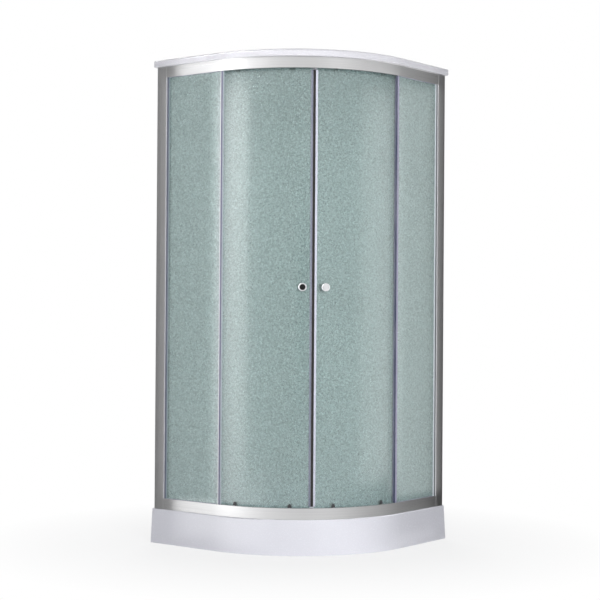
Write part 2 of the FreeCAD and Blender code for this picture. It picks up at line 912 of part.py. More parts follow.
def make_post(side):
    name = f"{side}_post"
    body = new_body(name)
    front = size.post_inset - half
    rear = post_rear - half
    slot_end = post_end - size.glass_slot_depth
    panel_outer = wall_outer - half - size.panel_clearance
    panel_inner = wall_inner - half + size.panel_clearance
    panel_end = rear - size.panel_slot_depth
    outline = [
        (post_start, front),
        (post_end, front),
        (post_end, gasket_start - half),
        (slot_end, gasket_start - half),
        (slot_end, groove_end - half),
        (post_end, groove_end - half),
        (post_end, rear),
        (panel_inner, rear),
        (panel_inner, panel_end),
        (panel_outer, panel_end),
        (panel_outer, rear),
        (post_start, rear),
    ]
    chamber = rectangle(panel_inner + size.post_wall, front + size.post_wall,
                        slot_end - size.post_wall, rear - size.post_wall)
    sketch = new_sketch(body, f"{name}_sketch", "XY_Plane", frame_bottom)
    add_polygon(sketch, for_side(side, outline))
    add_polygon(sketch, for_side(side, chamber))
    pad(body, f"{name}_pad", sketch, size.frame_height)
    holes = new_sketch(body, f"{name}_holes_sketch", "YZ_Plane" if side == "left" else "XZ_Plane", post_start)
    for z in screw_levels:
        add_circle(holes, screw_depth if side == "left" else -screw_depth, z,
                   size.screw_radius + size.screw_clearance)
    pocket(body, f"{name}_holes", holes, size.screw_length + size.cut_overrun, reverse=True)
    finish(body, name)


def make_fixed_panel(side):
    glass_left = post_end - size.glass_slot_depth + size.glass_edge_gap
    glass_right = -arc_offset + size.fixed_glass_overrun
    track_ceiling = upper_track - size.rail_wall
    glass = side_box(f"{side}_fixed_glass", side, glass_left, glass_start - half, lower_track,
                     glass_right, glass_end - half, track_ceiling - size.glass_edge_gap)
    finish(glass, f"{side}_fixed_glass")

    name = f"{side}_post_gasket"
    gasket = new_body(name)
    back = post_end - size.glass_slot_depth
    reveal = post_end + size.gasket_reveal
    sketch = new_sketch(gasket, f"{name}_sketch", "XY_Plane", lower_rail_top)
    add_polygon(sketch, for_side(side, [
        (back, gasket_start - half),
        (reveal, gasket_start - half),
        (reveal, glass_start - half),
        (glass_left, glass_start - half),
        (glass_left, glass_end - half),
        (reveal, glass_end - half),
        (reveal, groove_end - half),
        (back, groove_end - half),
    ]))
    pad(gasket, f"{name}_pad", sketch, upper_rail_bottom - lower_rail_top)
    finish(gasket, name)

    seal_start = glass_right - size.edge_seal_width
    strips = []
    levels = (
        ("lower", lower_track, lower_rail_top + size.gasket_lip),
        ("upper", upper_rail_bottom - size.gasket_lip, track_ceiling),
    )
    for level, z0, z1 in levels:
        strips.append(side_box(f"{side}_{level}_outer_gasket", side, reveal, gasket_start - half, z0,
                               -arc_offset, glass_start - half, z1))
        strips.append(side_box(f"{side}_{level}_inner_gasket", side, reveal, glass_end - half, z0,
                               -arc_offset, gasket_end - half, z1))
    group(f"{side}_rail_gaskets", strips)

    name = f"{side}_fixed_seal"
    seal = new_body(name)
    wall = size.edge_seal_wall
    end = glass_right + wall
    lip_tip = glass_end + wall + size.edge_seal_lip
    sketch = new_sketch(seal, f"{name}_sketch", "XY_Plane", lower_rail_top)
    add_polygon(sketch, for_side(side, [
        (seal_start, glass_start - wall - half),
        (end, glass_start - wall - half),
        (end, glass_end + wall - half),
        (seal_start + wall, glass_end + wall - half),
        (seal_start + wall, lip_tip - half),
        (seal_start, lip_tip - half),
        (seal_start, glass_end - half),
        (glass_right, glass_end - half),
        (glass_right, glass_start - half),
        (seal_start, glass_start - half),
    ]))
    pad(seal, f"{name}_pad", sketch, upper_rail_bottom - lower_rail_top)
    finish(seal, name)


# Rear walls


def make_rear_walls():
    panel_front = post_rear - half - size.panel_slot_depth + size.panel_edge_gap
    column_start = half - size.post_wall_inset - size.column_width
    panel_rear = column_start + size.panel_slot_depth - size.panel_edge_gap
    for side in SIDES:
        name = f"rear_{side}_wall"
        panel = side_box(f"{name}_sheet", side, wall_outer - half, panel_front, frame_bottom,
                         wall_inner - half, panel_rear, frame_top)
        for i, z in enumerate(screw_levels):
            hole = wall_screw_part(f"{name}_screw_hole_{i}", side, size.screw_radius + size.screw_clearance,
                                   size.screw_length + size.cut_overrun, 0, z)
            panel = cut(f"{name}_bored_{i}", panel, hole)
        if side == "right":
            for i, sign in enumerate((-1, 1)):
                hole = cylinder(f"{name}_hole_{i}", size.union_wall_hole_radius,
                                size.rear_wall_thickness + size.cut_overrun * 2,
                                mixer_x + size.inlet_half_spacing * sign,
                                half - wall_inner - size.cut_overrun, size.mixer_height,
                                THREE_QUARTER_TURN, ALONG_X)
                panel = cut(f"{name}_drilled_{i}", panel, hole)
        finish(panel, name)

    body = new_body("rear_corner_column")
    outer = half - size.post_wall_inset
    slot_outer = half - wall_outer + size.panel_clearance
    slot_inner = half - wall_inner - size.panel_clearance
    slot_end = column_start + size.panel_slot_depth
    flat = slot_inner - size.column_flat
    sketch = new_sketch(body, "column_sketch", "XY_Plane", frame_bottom)
    add_polygon(sketch, [
        (-outer, outer),
        (-outer, column_start),
        (-slot_outer, column_start),
        (-slot_outer, slot_end),
        (-slot_inner, slot_end),
        (-slot_inner, column_start),
        (-flat, column_start),
        (-column_start, flat),
        (-column_start, slot_inner),
        (-slot_end, slot_inner),
        (-slot_end, slot_outer),
        (-column_start, slot_outer),
        (-column_start, outer),
    ])
    pad(body, "column_pad", sketch, size.frame_height)
    finish(body, "rear_corner_column")


def wall_screw_part(name, side, radius, length, head, z):
    """A cylinder along a wall screw: from the post's outer face less a head height, towards the inside."""
    if side == "left":
        return cylinder(name, radius, length, post_start - head, screw_depth, z, QUARTER_TURN, ALONG_Y)
    return cylinder(name, radius, length, -screw_depth, -post_start + head, z, QUARTER_TURN, ALONG_X)


def make_wall_screws():
    screws = []
    for side in SIDES:
        for i, z in enumerate(screw_levels):
            name = f"{side}_wall_screw_{i}"
            head = wall_screw_part(f"{name}_head", side, size.screw_head_radius, size.screw_head_height,
                                   size.screw_head_height, z)
            shank = wall_screw_part(f"{name}_shank", side, size.screw_radius, size.screw_length, 0, z)
            screws.append(fuse(name, head, shank))
    group("wall_screws", screws)


# Roof


def make_roof():
    body = new_body("roof_canopy")
    rim_top = frame_top + size.roof_rim_height
    outline = quadrant_sketch(body, "roof_outline", 0, 0, frame_top)
    rim = pad(body, "roof_rim", outline, size.roof_rim_height)

    def bottom_edge(edge):
        return on_front(edge, frame_top, 0)

    def top_edge(edge):
        return on_front(edge, rim_top, 0)

    rounded = fillet(body, "roof_lower_edge", rim, size.roof_bottom_fillet, bottom_edge)
    fillet(body, "roof_upper_edge", rounded, size.roof_top_fillet, top_edge)
    dome_foot = quadrant_sketch(body, "dome_foot", size.dome_front_inset, size.dome_rear_inset, rim_top)
    crown_front = size.dome_front_inset + size.dome_slope
    crown_rear = size.dome_rear_inset + size.dome_slope
    dome_top = rim_top + size.dome_height
    crown = quadrant_sketch(body, "dome_crown", crown_front, crown_rear, dome_top)
    loft(body, "dome", "AdditiveLoft", dome_foot, crown)
    under = quadrant_sketch(body, "roof_underside", size.roof_underside_inset, size.roof_underside_inset,
                            frame_top)
    pocket(body, "roof_hollow", under, size.roof_rim_height - size.roof_wall, reverse=True)
    vault = quadrant_sketch(body, "dome_underside", crown_front + size.dome_cavity_margin,
                            crown_rear + size.dome_cavity_margin, frame_top)
    pocket(body, "dome_hollow", vault, size.roof_rim_height + size.dome_height - size.roof_wall, reverse=True)
    finish(body, "roof_canopy")


# Doors


def knob_profile(sign, seat):
    """Half section of a knob along its axis: base, neck and dished head, counted outwards from its seat."""
    base = size.knob_base_thickness
    neck = base + size.knob_neck_length
    end = neck + size.knob_head_length
    bore = size.knob_bolt_radius + size.knob_bore_clearance
    points = [
        (0, bore),
        (0, size.knob_base_radius),
        (base, size.knob_base_radius),
        (base, size.knob_neck_radius),
        (neck, size.knob_neck_radius),
        (neck, size.knob_head_radius),
        (end, size.knob_head_radius),
        (end, size.knob_dish_radius),
        (end - size.knob_dish_depth, size.knob_dish_radius),
        (end - size.knob_dish_depth, 0),
        (size.knob_bolt_grip, 0),
        (size.knob_bolt_grip, bore),
    ]
    return [(seat + as_size(x) * sign, r) for x, r in points]


def make_knob(side, place_name, sign, seat):
    name = f"{side}_{place_name}_knob"
    body = new_body(name)
    sketch = new_sketch(body, f"{name}_sketch", "XZ_Plane")
    add_polygon(sketch, knob_profile(sign, seat))
    turned = revolve(body, f"{name}_turned", sketch, "H_Axis")

    def head_edge(edge):
        return abs(edge.BoundBox.ZMax - size.knob_head_radius.value) < NEAR and len(edge.Vertexes) == 1

    fillet(body, f"{name}_rounded", turned, size.knob_head_fillet, head_edge)
    place(body, -arc_offset, arc_offset, size.knob_height, door_turn(side, size.knob_angle))
    finish(body, name)


def make_door_glass(side):
    name = f"{side}_door_glass"
    trailing = as_size(MEETING_DIRECTION - THREE_QUARTER_TURN) + size.door_overlap_angle
    plate = sector(f"{name}_plate", side, size.door_glass_inset, door_glass_end, door_bottom, door_top,
                   size.door_edge_angle, trailing)
    turn = door_turn(side, size.knob_angle)
    drill = new_body(f"{name}_drill")
    pad_circle(drill, f"{name}_drill_pad", "YZ_Plane", radius_at(door_glass_end) - size.cut_overrun, 0, 0,
               size.glass_hole_radius, size.glass_thickness + size.cut_overrun * 2)
    place(drill, -arc_offset, arc_offset, size.knob_height, turn)
    finish(cut(name, plate, drill), name)

    inner_seat = radius_at(door_glass_end) - size.knob_seat_gap
    outer_seat = radius_at(size.door_glass_inset) + size.knob_seat_gap
    make_knob(side, "outer", 1, outer_seat)
    make_knob(side, "inner", -1, inner_seat)
    bolt = new_body(f"{side}_knob_bolt")
    bolt_start = inner_seat - size.knob_bolt_grip
    pad_circle(bolt, f"{side}_knob_bolt_pad", "YZ_Plane", bolt_start, 0, 0, size.knob_bolt_radius,
               outer_seat + size.knob_bolt_grip - bolt_start)
    place(bolt, -arc_offset, arc_offset, size.knob_height, turn)
    finish(bolt, f"{side}_knob_bolt")


def make_door_seals(side):
    outer = size.door_glass_inset - size.door_seal_wall
    inner = door_glass_end + size.door_seal_wall
    z0 = lower_rail_top + size.door_seal_end_gap
    z1 = upper_rail_bottom - size.door_seal_end_gap
    slot_bottom = z0 - size.cut_overrun
    slot_top = z1 + size.cut_overrun
    strip = sector(f"{side}_magnet_strip", side, outer, inner, z0, z1, size.meeting_angle, size.magnet_angle)
    finish(strip, f"{side}_magnet_strip")

    block = sector(f"{side}_profile_block", side, outer, inner, z0, z1, size.magnet_angle, size.profile_angle)
    slot = sector(f"{side}_profile_slot", side, size.door_glass_inset, door_glass_end, slot_bottom, slot_top,
                  size.door_edge_angle, size.profile_angle * 2)
    finish(cut(f"{side}_magnet_profile", block, slot), f"{side}_magnet_profile")

    edge = as_size(MEETING_DIRECTION - THREE_QUARTER_TURN) + size.door_overlap_angle
    seal_end = edge + size.trailing_cap_angle
    seal_start = edge - size.trailing_seal_angle
    name = f"{side}_trailing_seal"
    block = sector(f"{name}_block", side, outer, inner, z0, z1, seal_start, seal_end)
    slot = sector(f"{name}_slot", side, size.door_glass_inset, door_glass_end, slot_bottom, slot_top,
                  seal_start - size.trailing_seal_angle, edge)
    channel = cut(f"{name}_channel", block, slot)
    lip = sector(f"{name}_lip", side, outer - size.trailing_lip, inner, z0, z1,
                 seal_end - size.trailing_lip_angle, seal_end)
    finish(fuse(name, channel, lip), name)


def add_axle(body, name, start):
    """Collar, running length and end cap of a roller axle, turned about the X axis of the body."""
    wheel_inner = radius_at(size.wheel_inset) - size.wheel_width / 2 - size.wheel_side_gap
    wheel_outer = radius_at(size.wheel_inset) + size.wheel_width / 2 + size.wheel_side_gap
    end = wheel_outer + size.axle_cap_length
    sketch = new_sketch(body, f"{name}_axle_sketch", "XZ_Plane")
    add_polygon(sketch, [
        (start, 0),
        (end, 0),
        (end, size.axle_collar_radius),
        (wheel_outer, size.axle_collar_radius),
        (wheel_outer, size.axle_radius),
        (wheel_inner, size.axle_radius),
        (wheel_inner, size.axle_collar_radius),
        (start, size.axle_collar_radius),
    ])
    revolve(body, f"{name}_axle", sketch, "H_Axis")


def shoe_slot():
    plate_face = radius_at(door_glass_end) - size.shoe_clearance
    jaw_face = radius_at(size.door_glass_inset) + size.shoe_clearance
    return plate_face - size.shoe_plate, plate_face, jaw_face, jaw_face + size.shoe_jaw


def make_lower_shoe(side, name, angle):
    body = new_body(name)
    back, plate_face, jaw_face, front = shoe_slot()
    saddle = door_bottom - lower_axle
    half_width = size.shoe_width / 2
    pad_polygon(body, f"{name}_clamp", "XZ_Plane", -half_width, [
        (back, -size.shoe_foot),
        (front, -size.shoe_foot),
        (front, saddle),
        (plate_face, saddle),
        (plate_face, size.shoe_plate_rise),
        (back, size.shoe_plate_rise),
    ], size.shoe_width)
    half_tip = size.shoe_jaw_tip_width / 2
    pad_polygon(body, f"{name}_jaw", "YZ_Plane", jaw_face, [
        (-half_width, 0),
        (half_width, 0),
        (half_width, saddle),
        (half_tip, size.shoe_jaw_rise),
        (-half_tip, size.shoe_jaw_rise),
        (-half_width, saddle),
    ], size.shoe_jaw)
    add_axle(body, name, back)
    return place(body, -arc_offset, arc_offset, lower_axle, door_turn(side, angle))


def make_upper_shoe(side, name, angle):
    body = new_body(name)
    back, plate_face, jaw_face, front = shoe_slot()
    saddle = door_top - upper_axle
    bridge = saddle + size.upper_bridge
    pad_polygon(body, f"{name}_clamp", "XZ_Plane", -(size.shoe_width / 2), [
        (back, saddle - size.upper_plate_drop),
        (plate_face, saddle - size.upper_plate_drop),
        (plate_face, saddle),
        (jaw_face, saddle),
        (jaw_face, saddle - size.upper_jaw_drop),
        (front, saddle - size.upper_jaw_drop),
        (front, bridge),
        (plate_face, bridge),
        (plate_face, size.upper_plate_rise),
        (back, size.upper_plate_rise),
    ], size.shoe_width)
    add_axle(body, name, back)
    return place(body, -arc_offset, arc_offset, upper_axle, door_turn(side, angle))


def make_wheel(name, side, angle, axle_height):
    body = new_body(name)
    middle = radius_at(size.wheel_inset)
    inner = middle - size.wheel_width / 2
    outer = middle + size.wheel_width / 2
    bore = size.axle_radius + size.axle_fit
    chamfer = size.wheel_chamfer
    sketch = new_sketch(body, f"{name}_sketch", "XZ_Plane")
    add_polygon(sketch, [
        (inner, bore),
        (outer, bore),
        (outer, size.wheel_radius - chamfer),
        (outer - chamfer, size.wheel_radius),
        (inner + chamfer, size.wheel_radius),
        (inner, size.wheel_radius - chamfer),
    ])
    revolve(body, f"{name}_turned", sketch, "H_Axis")
    place(body, -arc_offset, arc_offset, axle_height, door_turn(side, angle))
    finish(body, name)


def make_door(side):
    make_door_glass(side)
    make_door_seals(side)
    shoes = []
    rollers = (
        ("lead", size.lead_roller_angle),
        ("trail", size.trail_roller_angle),
    )
    for label, angle in rollers:
        shoes.append(make_lower_shoe(side, f"{side}_lower_{label}_shoe", angle))
        shoes.append(make_upper_shoe(side, f"{side}_upper_{label}_shoe", angle))
        make_wheel(f"{side}_lower_{label}_wheel", side, angle, lower_axle)
        make_wheel(f"{side}_upper_{label}_wheel", side, angle, upper_axle)
    group(f"{side}_roller_shoes", shoes)


def make_door_stops():
    stops = []
    inner = size.track_inset - size.stop_track_margin
    for side in SIDES:
        start = post_end + size.stop_post_gap
        stops.append(side_box(f"{side}_door_stop", side, start,
                              inner - size.stop_width - half, upper_track,
                              start + size.stop_length, inner - half, upper_track + size.stop_height))
    group("door_stops", stops)


# Shower set on the rear right wall


def make_mixer():
    body = new_body("mixer_body")
    bar = new_sketch(body, "mixer_bar_sketch", "XZ_Plane")
    reach = size.mixer_half_length
    bevel = size.mixer_bevel
    add_polygon(bar, [
        (-reach, 0),
        (reach, 0),
        (reach, size.mixer_radius - bevel),
        (reach - bevel, size.mixer_radius),
        (-reach + bevel, size.mixer_radius),
        (-reach, size.mixer_radius - bevel),
    ])
    revolve(body, "mixer_bar", bar, "H_Axis")
    pad_circle(body, "cartridge_boss", "XZ_Plane", 0, 0, 0, size.cartridge_boss_radius,
               size.cartridge_boss_length)
    for i, sign in enumerate((-1, 1)):
        pad_circle(body, f"inlet_{i}", "XZ_Plane", 0, size.inlet_half_spacing * sign, 0, size.inlet_radius,
                   size.inlet_length, reverse=True)
    pad_circle(body, "outlet_boss", "XY_Plane", 0, 0, 0, size.outlet_boss_radius, size.outlet_boss_length)
    pocket_circle(body, "cartridge_bore", "XZ_Plane", size.cartridge_boss_length, 0, 0,
                  size.swivel_pin_radius + size.swivel_fit, size.swivel_pin_length + size.swivel_end_gap)
    pocket_circle(body, "outlet_socket", "XY_Plane", size.outlet_boss_length, 0, 0,
                  size.pipe_radius + size.pipe_fit, size.pipe_socket_depth)
    place(body, mixer_x, mixer_y, size.mixer_height)
    finish(body, "mixer_body")

    unions = []
    rosettes = []
    union_start = mixer_y + size.inlet_length
    union_end = half - size.union_rear_gap
    wall_face = half - wall_inner
    for i, sign in enumerate((-1, 1)):
        x = mixer_x + size.inlet_half_spacing * sign
        z = size.mixer_height
        tail = cylinder(f"union_{i}_tail", size.union_radius, union_end - union_start, x, union_start, z,
                        THREE_QUARTER_TURN, ALONG_X)
        thread = cylinder(f"union_{i}_thread", size.union_thread_radius,
                          size.union_thread_depth + size.cut_overrun, x,
                          union_end - size.union_thread_depth, z, THREE_QUARTER_TURN, ALONG_X)
        unions.append(cut(f"union_{i}", tail, thread))
        plate = document.addObject("Part::Cone", f"rosette_{i}_cone")
        bind(plate, "Radius1", size.rosette_radius)
        bind(plate, "Radius2", size.rosette_front_radius)
        bind(plate, "Height", wall_face - union_start)
        place(plate, x, wall_face, z, QUARTER_TURN, ALONG_X)
        opening = cylinder(f"rosette_{i}_bore", size.union_radius + size.rosette_fit,
                           wall_face - union_start + size.cut_overrun * 2, x,
                           union_start - size.cut_overrun, z, THREE_QUARTER_TURN, ALONG_X)
        rosettes.append(cut(f"rosette_{i}", plate, opening))
    group("mixer_unions", unions)
    group("mixer_rosettes", rosettes)


def make_mixer_lever():
    face_y = mixer_y - size.cartridge_boss_length
    swivel = new_body("mixer_swivel")
    disc = new_sketch(swivel, "swivel_sketch", "XY_Plane")
    disc_back = -size.swivel_face_gap
    disc_front = disc_back - size.swivel_length
    add_polygon(disc, [
        (0, size.swivel_pin_length),
        (size.swivel_pin_radius, size.swivel_pin_length),
        (size.swivel_pin_radius, disc_back),
        (size.swivel_radius, disc_back),
        (size.swivel_radius, disc_front + size.swivel_bevel),
        (size.swivel_radius - size.swivel_bevel, disc_front),
        (0, disc_front),
    ])
    revolve(swivel, "swivel_turned", disc, "V_Axis")
    ear_tip = disc_front - size.ear_reach
    ear_back = disc_front + size.swivel_bevel
    rise = size.ear_half_height
    for label, offset in (("near", size.ear_gap), ("far", -size.ear_gap - size.ear_thickness)):
        pad_polygon(swivel, f"{label}_ear", "YZ_Plane", offset,
                    rectangle(ear_tip, -rise, ear_back, rise), size.ear_thickness)
    pin_y = disc_front - size.lever_pin_reach
    pin_half = size.ear_gap + size.ear_thickness
    pad_circle(swivel, "lever_pin", "YZ_Plane", -pin_half, pin_y, 0, size.lever_pin_radius, pin_half * 2)
    place(swivel, mixer_x, face_y, size.mixer_height)
    finish(swivel, "mixer_swivel")

    lever = new_body("mixer_lever")
    half_width = size.ear_gap - size.lever_side_gap
    pad_circle(lever, "lever_hub", "YZ_Plane", -half_width, 0, 0, size.lever_hub_radius, half_width * 2)
    hub = size.lever_hub_radius
    pad_polygon(lever, "lever_arm", "YZ_Plane", -half_width, [
        (0, hub),
        (-hub, hub / 2),
        (-size.lever_lean, -size.lever_length),
        (size.lever_thickness - size.lever_lean, -size.lever_length),
        (0, -size.lever_root),
        (hub / 2, 0),
    ], half_width * 2)
    pocket_circle(lever, "lever_bore", "YZ_Plane", half_width, 0, 0, size.lever_pin_radius + size.lever_fit,
                  half_width * 2)
    place(lever, mixer_x, face_y + pin_y, size.mixer_height)
    finish(lever, "mixer_lever")


def make_riser():
    pipe = new_body("riser_pipe")
    start = size.outlet_boss_length - size.pipe_socket_depth
    rise = size.pipe_rise
    rear = size.pipe_rear_bend
    front = size.pipe_front_bend
    reach = size.pipe_reach
    spine = new_sketch(pipe, "pipe_spine", "YZ_Plane")
    upright = add_line(spine, (0, start), (0, rise - rear))
    first_bend = add_arc(spine, (-rear, rise - rear), rear, 0, QUARTER_TURN)
    arm = add_line(spine, (-rear, rise), (front - reach, rise))
    second_bend = add_arc(spine, (front - reach, rise - front), front, QUARTER_TURN, 2 * QUARTER_TURN)
    drop = add_line(spine, (-reach, rise - front), (-reach, rise - size.pipe_drop))
    join(spine, upright, 2, first_bend, 1)
    join(spine, first_bend, 2, arm, 1)
    join(spine, arm, 2, second_bend, 1)
    join(spine, second_bend, 2, drop, 1)
    hold(spine, "DistanceX", upright, 1, 0)
    hold(spine, "DistanceY", upright, 1, start)
    spine.addConstraint(Sketcher.Constraint("Vertical", upright))
    hold(spine, "DistanceY", upright, 2, rise - rear)
    hold(spine, "DistanceX", arm, 1, -rear)
    spine.addConstraint(Sketcher.Constraint("Horizontal", arm))
    hold(spine, "DistanceX", arm, 2, front - reach)
    spine.addConstraint(Sketcher.Constraint("Vertical", drop))
    hold(spine, "DistanceY", drop, 1, rise - front)
    hold(spine, "DistanceY", drop, 2, rise - size.pipe_drop)
    section = new_sketch(pipe, "pipe_section", "XY_Plane", start)
    add_circle(section, 0, 0, size.pipe_radius)
    add_circle(section, 0, 0, size.pipe_bore_radius)
    tube = new_feature(pipe, "AdditivePipe", "pipe_tube", section)
    tube.Spine = (spine, [""])
    document.recompute()
    eye_height = rise - size.pipe_drop - size.pipe_bore_radius
    eye = new_sketch(pipe, "pipe_eye_sketch", "YZ_Plane", -size.eye_half_width)
    add_circle(eye, -reach, eye_height, size.eye_radius)
    pad(pipe, "pipe_eye", eye, size.eye_half_width * 2)
    pocket_circle(pipe, "pipe_eye_bore", "YZ_Plane", size.eye_half_width, -reach, eye_height,
                  size.head_pin_radius + size.head_pin_fit, size.eye_half_width * 2)
    place(pipe, mixer_x, mixer_y, size.mixer_height)
    finish(pipe, "riser_pipe")

    brackets = []
    for label, height in (("lower", size.lower_bracket_rise), ("upper", size.upper_bracket_rise)):
        bracket = new_body(f"{label}_riser_bracket")
        sketch = new_sketch(bracket, f"{label}_bracket_sketch", "XY_Plane")
        add_polygon(sketch, rectangle(-size.bracket_half_width, -size.bracket_front,
                                      size.bracket_half_width, size.mixer_wall_gap))
        add_circle(sketch, 0, 0, size.pipe_radius + size.pipe_fit)
        pad(bracket, f"{label}_bracket_pad", sketch, size.bracket_height)
        brackets.append(place(bracket, mixer_x, mixer_y, size.mixer_height + height))
    group("riser_brackets", brackets)

    head = new_body("shower_head")
    plate = new_sketch(head, "head_sketch", "XZ_Plane")
    neck_top = -size.head_drop
    plate_top = neck_top - size.head_neck_height
    bottom = plate_top - size.head_thickness
    add_polygon(plate, [
        (0, bottom),
        (size.head_radius, bottom),
        (size.head_radius, bottom + size.head_edge),
        (size.head_neck_radius, plate_top),
        (size.head_neck_radius, neck_top),
        (0, neck_top),
    ])
    revolve(head, "head_turned", plate, "V_Axis")
    depth = size.head_ear_half_depth
    ear = size.head_ear_thickness
    for label, offset in (("right", size.head_ear_gap), ("left", -size.head_ear_gap - ear)):
        pad_polygon(head, f"head_{label}_ear", "YZ_Plane", offset,
                    rectangle(-depth, plate_top, depth, size.head_ear_rise), ear)
    pin_half = size.head_ear_gap + ear
    pad_circle(head, "head_pin", "YZ_Plane", -pin_half, 0, 0, size.head_pin_radius, pin_half * 2)
    place(head, mixer_x, mixer_y - reach, size.mixer_height + eye_height)
    finish(head, "shower_head")


def check_and_export():
    document.recompute()
    for item in document.Objects:
        if "Invalid" in item.State or "Error" in item.State:
            raise RuntimeError(f"{item.Name} did not compute: {item.State}")
    os.makedirs("parts", exist_ok=True)
    for item in nodes:
        shape = item.Shape
        if shape.isNull() or not shape.isValid() or not shape.Solids:
            raise RuntimeError(f"{item.Label} has no valid solid")
        shape.exportStep(f"parts/{item.Label}.step")
        print(item.Label, len(shape.Solids), round(shape.Volume))


make_tray()
make_support()
make_drain()
make_rails()
for hand in SIDES:
    make_post(hand)
    make_fixed_panel(hand)
make_rear_walls()
make_wall_screws()
make_roof()
for hand in SIDES:
    make_door(hand)
make_door_stops()
make_mixer()
make_mixer_lever()
make_riser()
check_and_export()
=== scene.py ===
import math

import bmesh
import bpy
from mathutils import Matrix, Vector


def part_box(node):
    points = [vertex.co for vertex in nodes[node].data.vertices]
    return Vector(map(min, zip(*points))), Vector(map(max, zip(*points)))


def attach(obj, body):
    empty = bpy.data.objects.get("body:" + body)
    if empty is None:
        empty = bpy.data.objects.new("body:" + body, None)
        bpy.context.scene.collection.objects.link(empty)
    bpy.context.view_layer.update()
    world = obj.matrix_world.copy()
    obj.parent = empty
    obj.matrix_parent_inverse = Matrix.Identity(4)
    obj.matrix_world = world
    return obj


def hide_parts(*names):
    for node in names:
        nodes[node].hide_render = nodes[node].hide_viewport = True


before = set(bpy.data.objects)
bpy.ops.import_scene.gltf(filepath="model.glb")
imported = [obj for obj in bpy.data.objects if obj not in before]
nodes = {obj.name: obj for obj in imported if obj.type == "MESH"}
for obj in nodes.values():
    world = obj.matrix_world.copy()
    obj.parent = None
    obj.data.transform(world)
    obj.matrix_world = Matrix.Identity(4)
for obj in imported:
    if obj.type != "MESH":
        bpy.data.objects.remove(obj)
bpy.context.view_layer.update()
scene = bpy.context.scene

# All lengths are in metres, unless a name says otherwise.
WHITE = (1.0, 1.0, 1.0, 1.0)

# Where a mix node keeps its two values, its two colours and the colour that results.
MIX_VALUES = (2, 3)
MIX_COLOURS = (6, 7)
MIX_RESULT = 2

# The rounded front is a quarter of a circle about this upright line.
ARC_X, ARC_Y = -0.1, 0.1

# The camera stands at chest height, in front of the line where the doors meet.
CAMERA_PLACE = (3.88417, -5.04644, 0.99464)
CAMERA_HEADING_DEGREES = 127.645
CAMERA_TILT_DEGREES = 0.309
CAMERA_ROLL_DEGREES = 0.404
FILM_WIDTH_MM = 36.0
LENS_MM = 89.1265
FURTHEST_SEEN = 60.0

# Studs on the flat of the basin, in staggered rows round the waste.
STUD_SIZES = {"Radius": 0.006, "Rise": 0.0012}
STUD_PITCH = 0.028
STUD_ROW_RATIO = 0.866
STUD_REACH = 30
BASIN_FLOOR = 0.084
BASIN_FLAT_X = (-0.315, 0.285)
BASIN_FLAT_Y = (-0.285, 0.315)
BASIN_FLAT_RADIUS = 0.385
WASTE_PLACE = Vector((-0.13, 0.13))
WASTE_CLEARANCE = 0.082

# Rings of nozzles under the shower head: radius and count.
NOZZLE_SIZES = {"Base Radius": 0.0022, "Tip Radius": 0.0012, "Drop": 0.0022}
NOZZLE_RINGS = ((0.026, 10), (0.052, 20), (0.078, 30))

# Threads of the legs: where each leg stands, and the height at which its thread starts.
THREAD_SIZES = {"Radius": 0.006, "Turns": 18.0, "Rise": 0.0318, "Ridge": 0.0006}
LEG_PLACES = ((-0.36, -0.13), (0.26, -0.13), (-0.36, 0.33), (0.0, 0.33), (0.36, 0.33))
THREAD_START = 0.0165

# Screws that hold the rear walls to the posts: their heights, and each row's place and facing.
SCREW_SIZES = {"Head Radius": 0.004, "Head Height": 0.002, "Shank Radius": 0.002, "Shank Length": 0.012}
SCREW_HEIGHTS = (0.304, 1.076, 1.848)
SCREW_ROWS = (((-0.4395, -0.4075), (-1.0, 0.0, 0.0)), ((0.4075, 0.4395), (0.0, 1.0, 0.0)))

# Strips beside the flat panes: where each starts and ends, measured along the pane.
POST_STRIP = (-0.391, -0.372)
EDGE_STRIP = (-0.092, -0.079)

# Half the width of the pair of strips where the doors meet.
MEETING_HALF_WIDTH = 0.012

# The studio floor, and how its share of plain white grows outwards from the object.
FLOOR_RADIUS = 14.0
FLOOR_DROP = 0.0005
FLOOR_CARD_LIFT = 0.001
FADE_START, FADE_END = 0.45, 1.4
SHADOW_WHITE = 0.72

# Heights and lines that several cards share.
CARD_TOP = 2.4
PANE_LOW, PANE_HIGH = 0.19, 1.965
LEFT_FLAG_Y = -0.53
RIGHT_CARD_X = 0.95
RIGHT_PANE_X = 0.53
RIGHT_FLAG_X = 0.55


# Camera

def add_camera():
    """Stands where the photograph was taken."""
    lens = bpy.data.cameras.new("front_camera")
    lens.sensor_width = FILM_WIDTH_MM
    lens.sensor_fit = "HORIZONTAL"
    lens.lens = LENS_MM
    lens.clip_end = FURTHEST_SEEN
    camera = bpy.data.objects.new("front_camera", lens)
    headed = Matrix.Rotation(math.radians(CAMERA_HEADING_DEGREES - 90.0), 4, "Z")
    tilted = Matrix.Rotation(math.radians(CAMERA_TILT_DEGREES + 90.0), 4, "X")
    rolled = Matrix.Rotation(math.radians(CAMERA_ROLL_DEGREES), 4, "Z")
    camera.matrix_world = Matrix.Translation(CAMERA_PLACE) @ headed @ tilted @ rolled
    scene.collection.objects.link(camera)
    scene.camera = camera


# Node helpers

def feed(tree, value, socket):
    """Links a socket to another node's output, or sets it to a plain value."""
    if isinstance(value, bpy.types.NodeSocket):
        tree.links.new(value, socket)
    else:
        socket.default_value = value


def wire(tree, kind, inputs=None, **settings):
    """Adds a node with its settings, and feeds its inputs."""
    made = tree.nodes.new(kind)
    for name, value in settings.items():
        setattr(made, name, value)
    for key, value in (inputs or {}).items():
        feed(tree, value, made.inputs[key])
    return made


def compute(tree, operation, *values):
    return wire(tree, "ShaderNodeMath", dict(enumerate(values)), operation=operation).outputs[0]


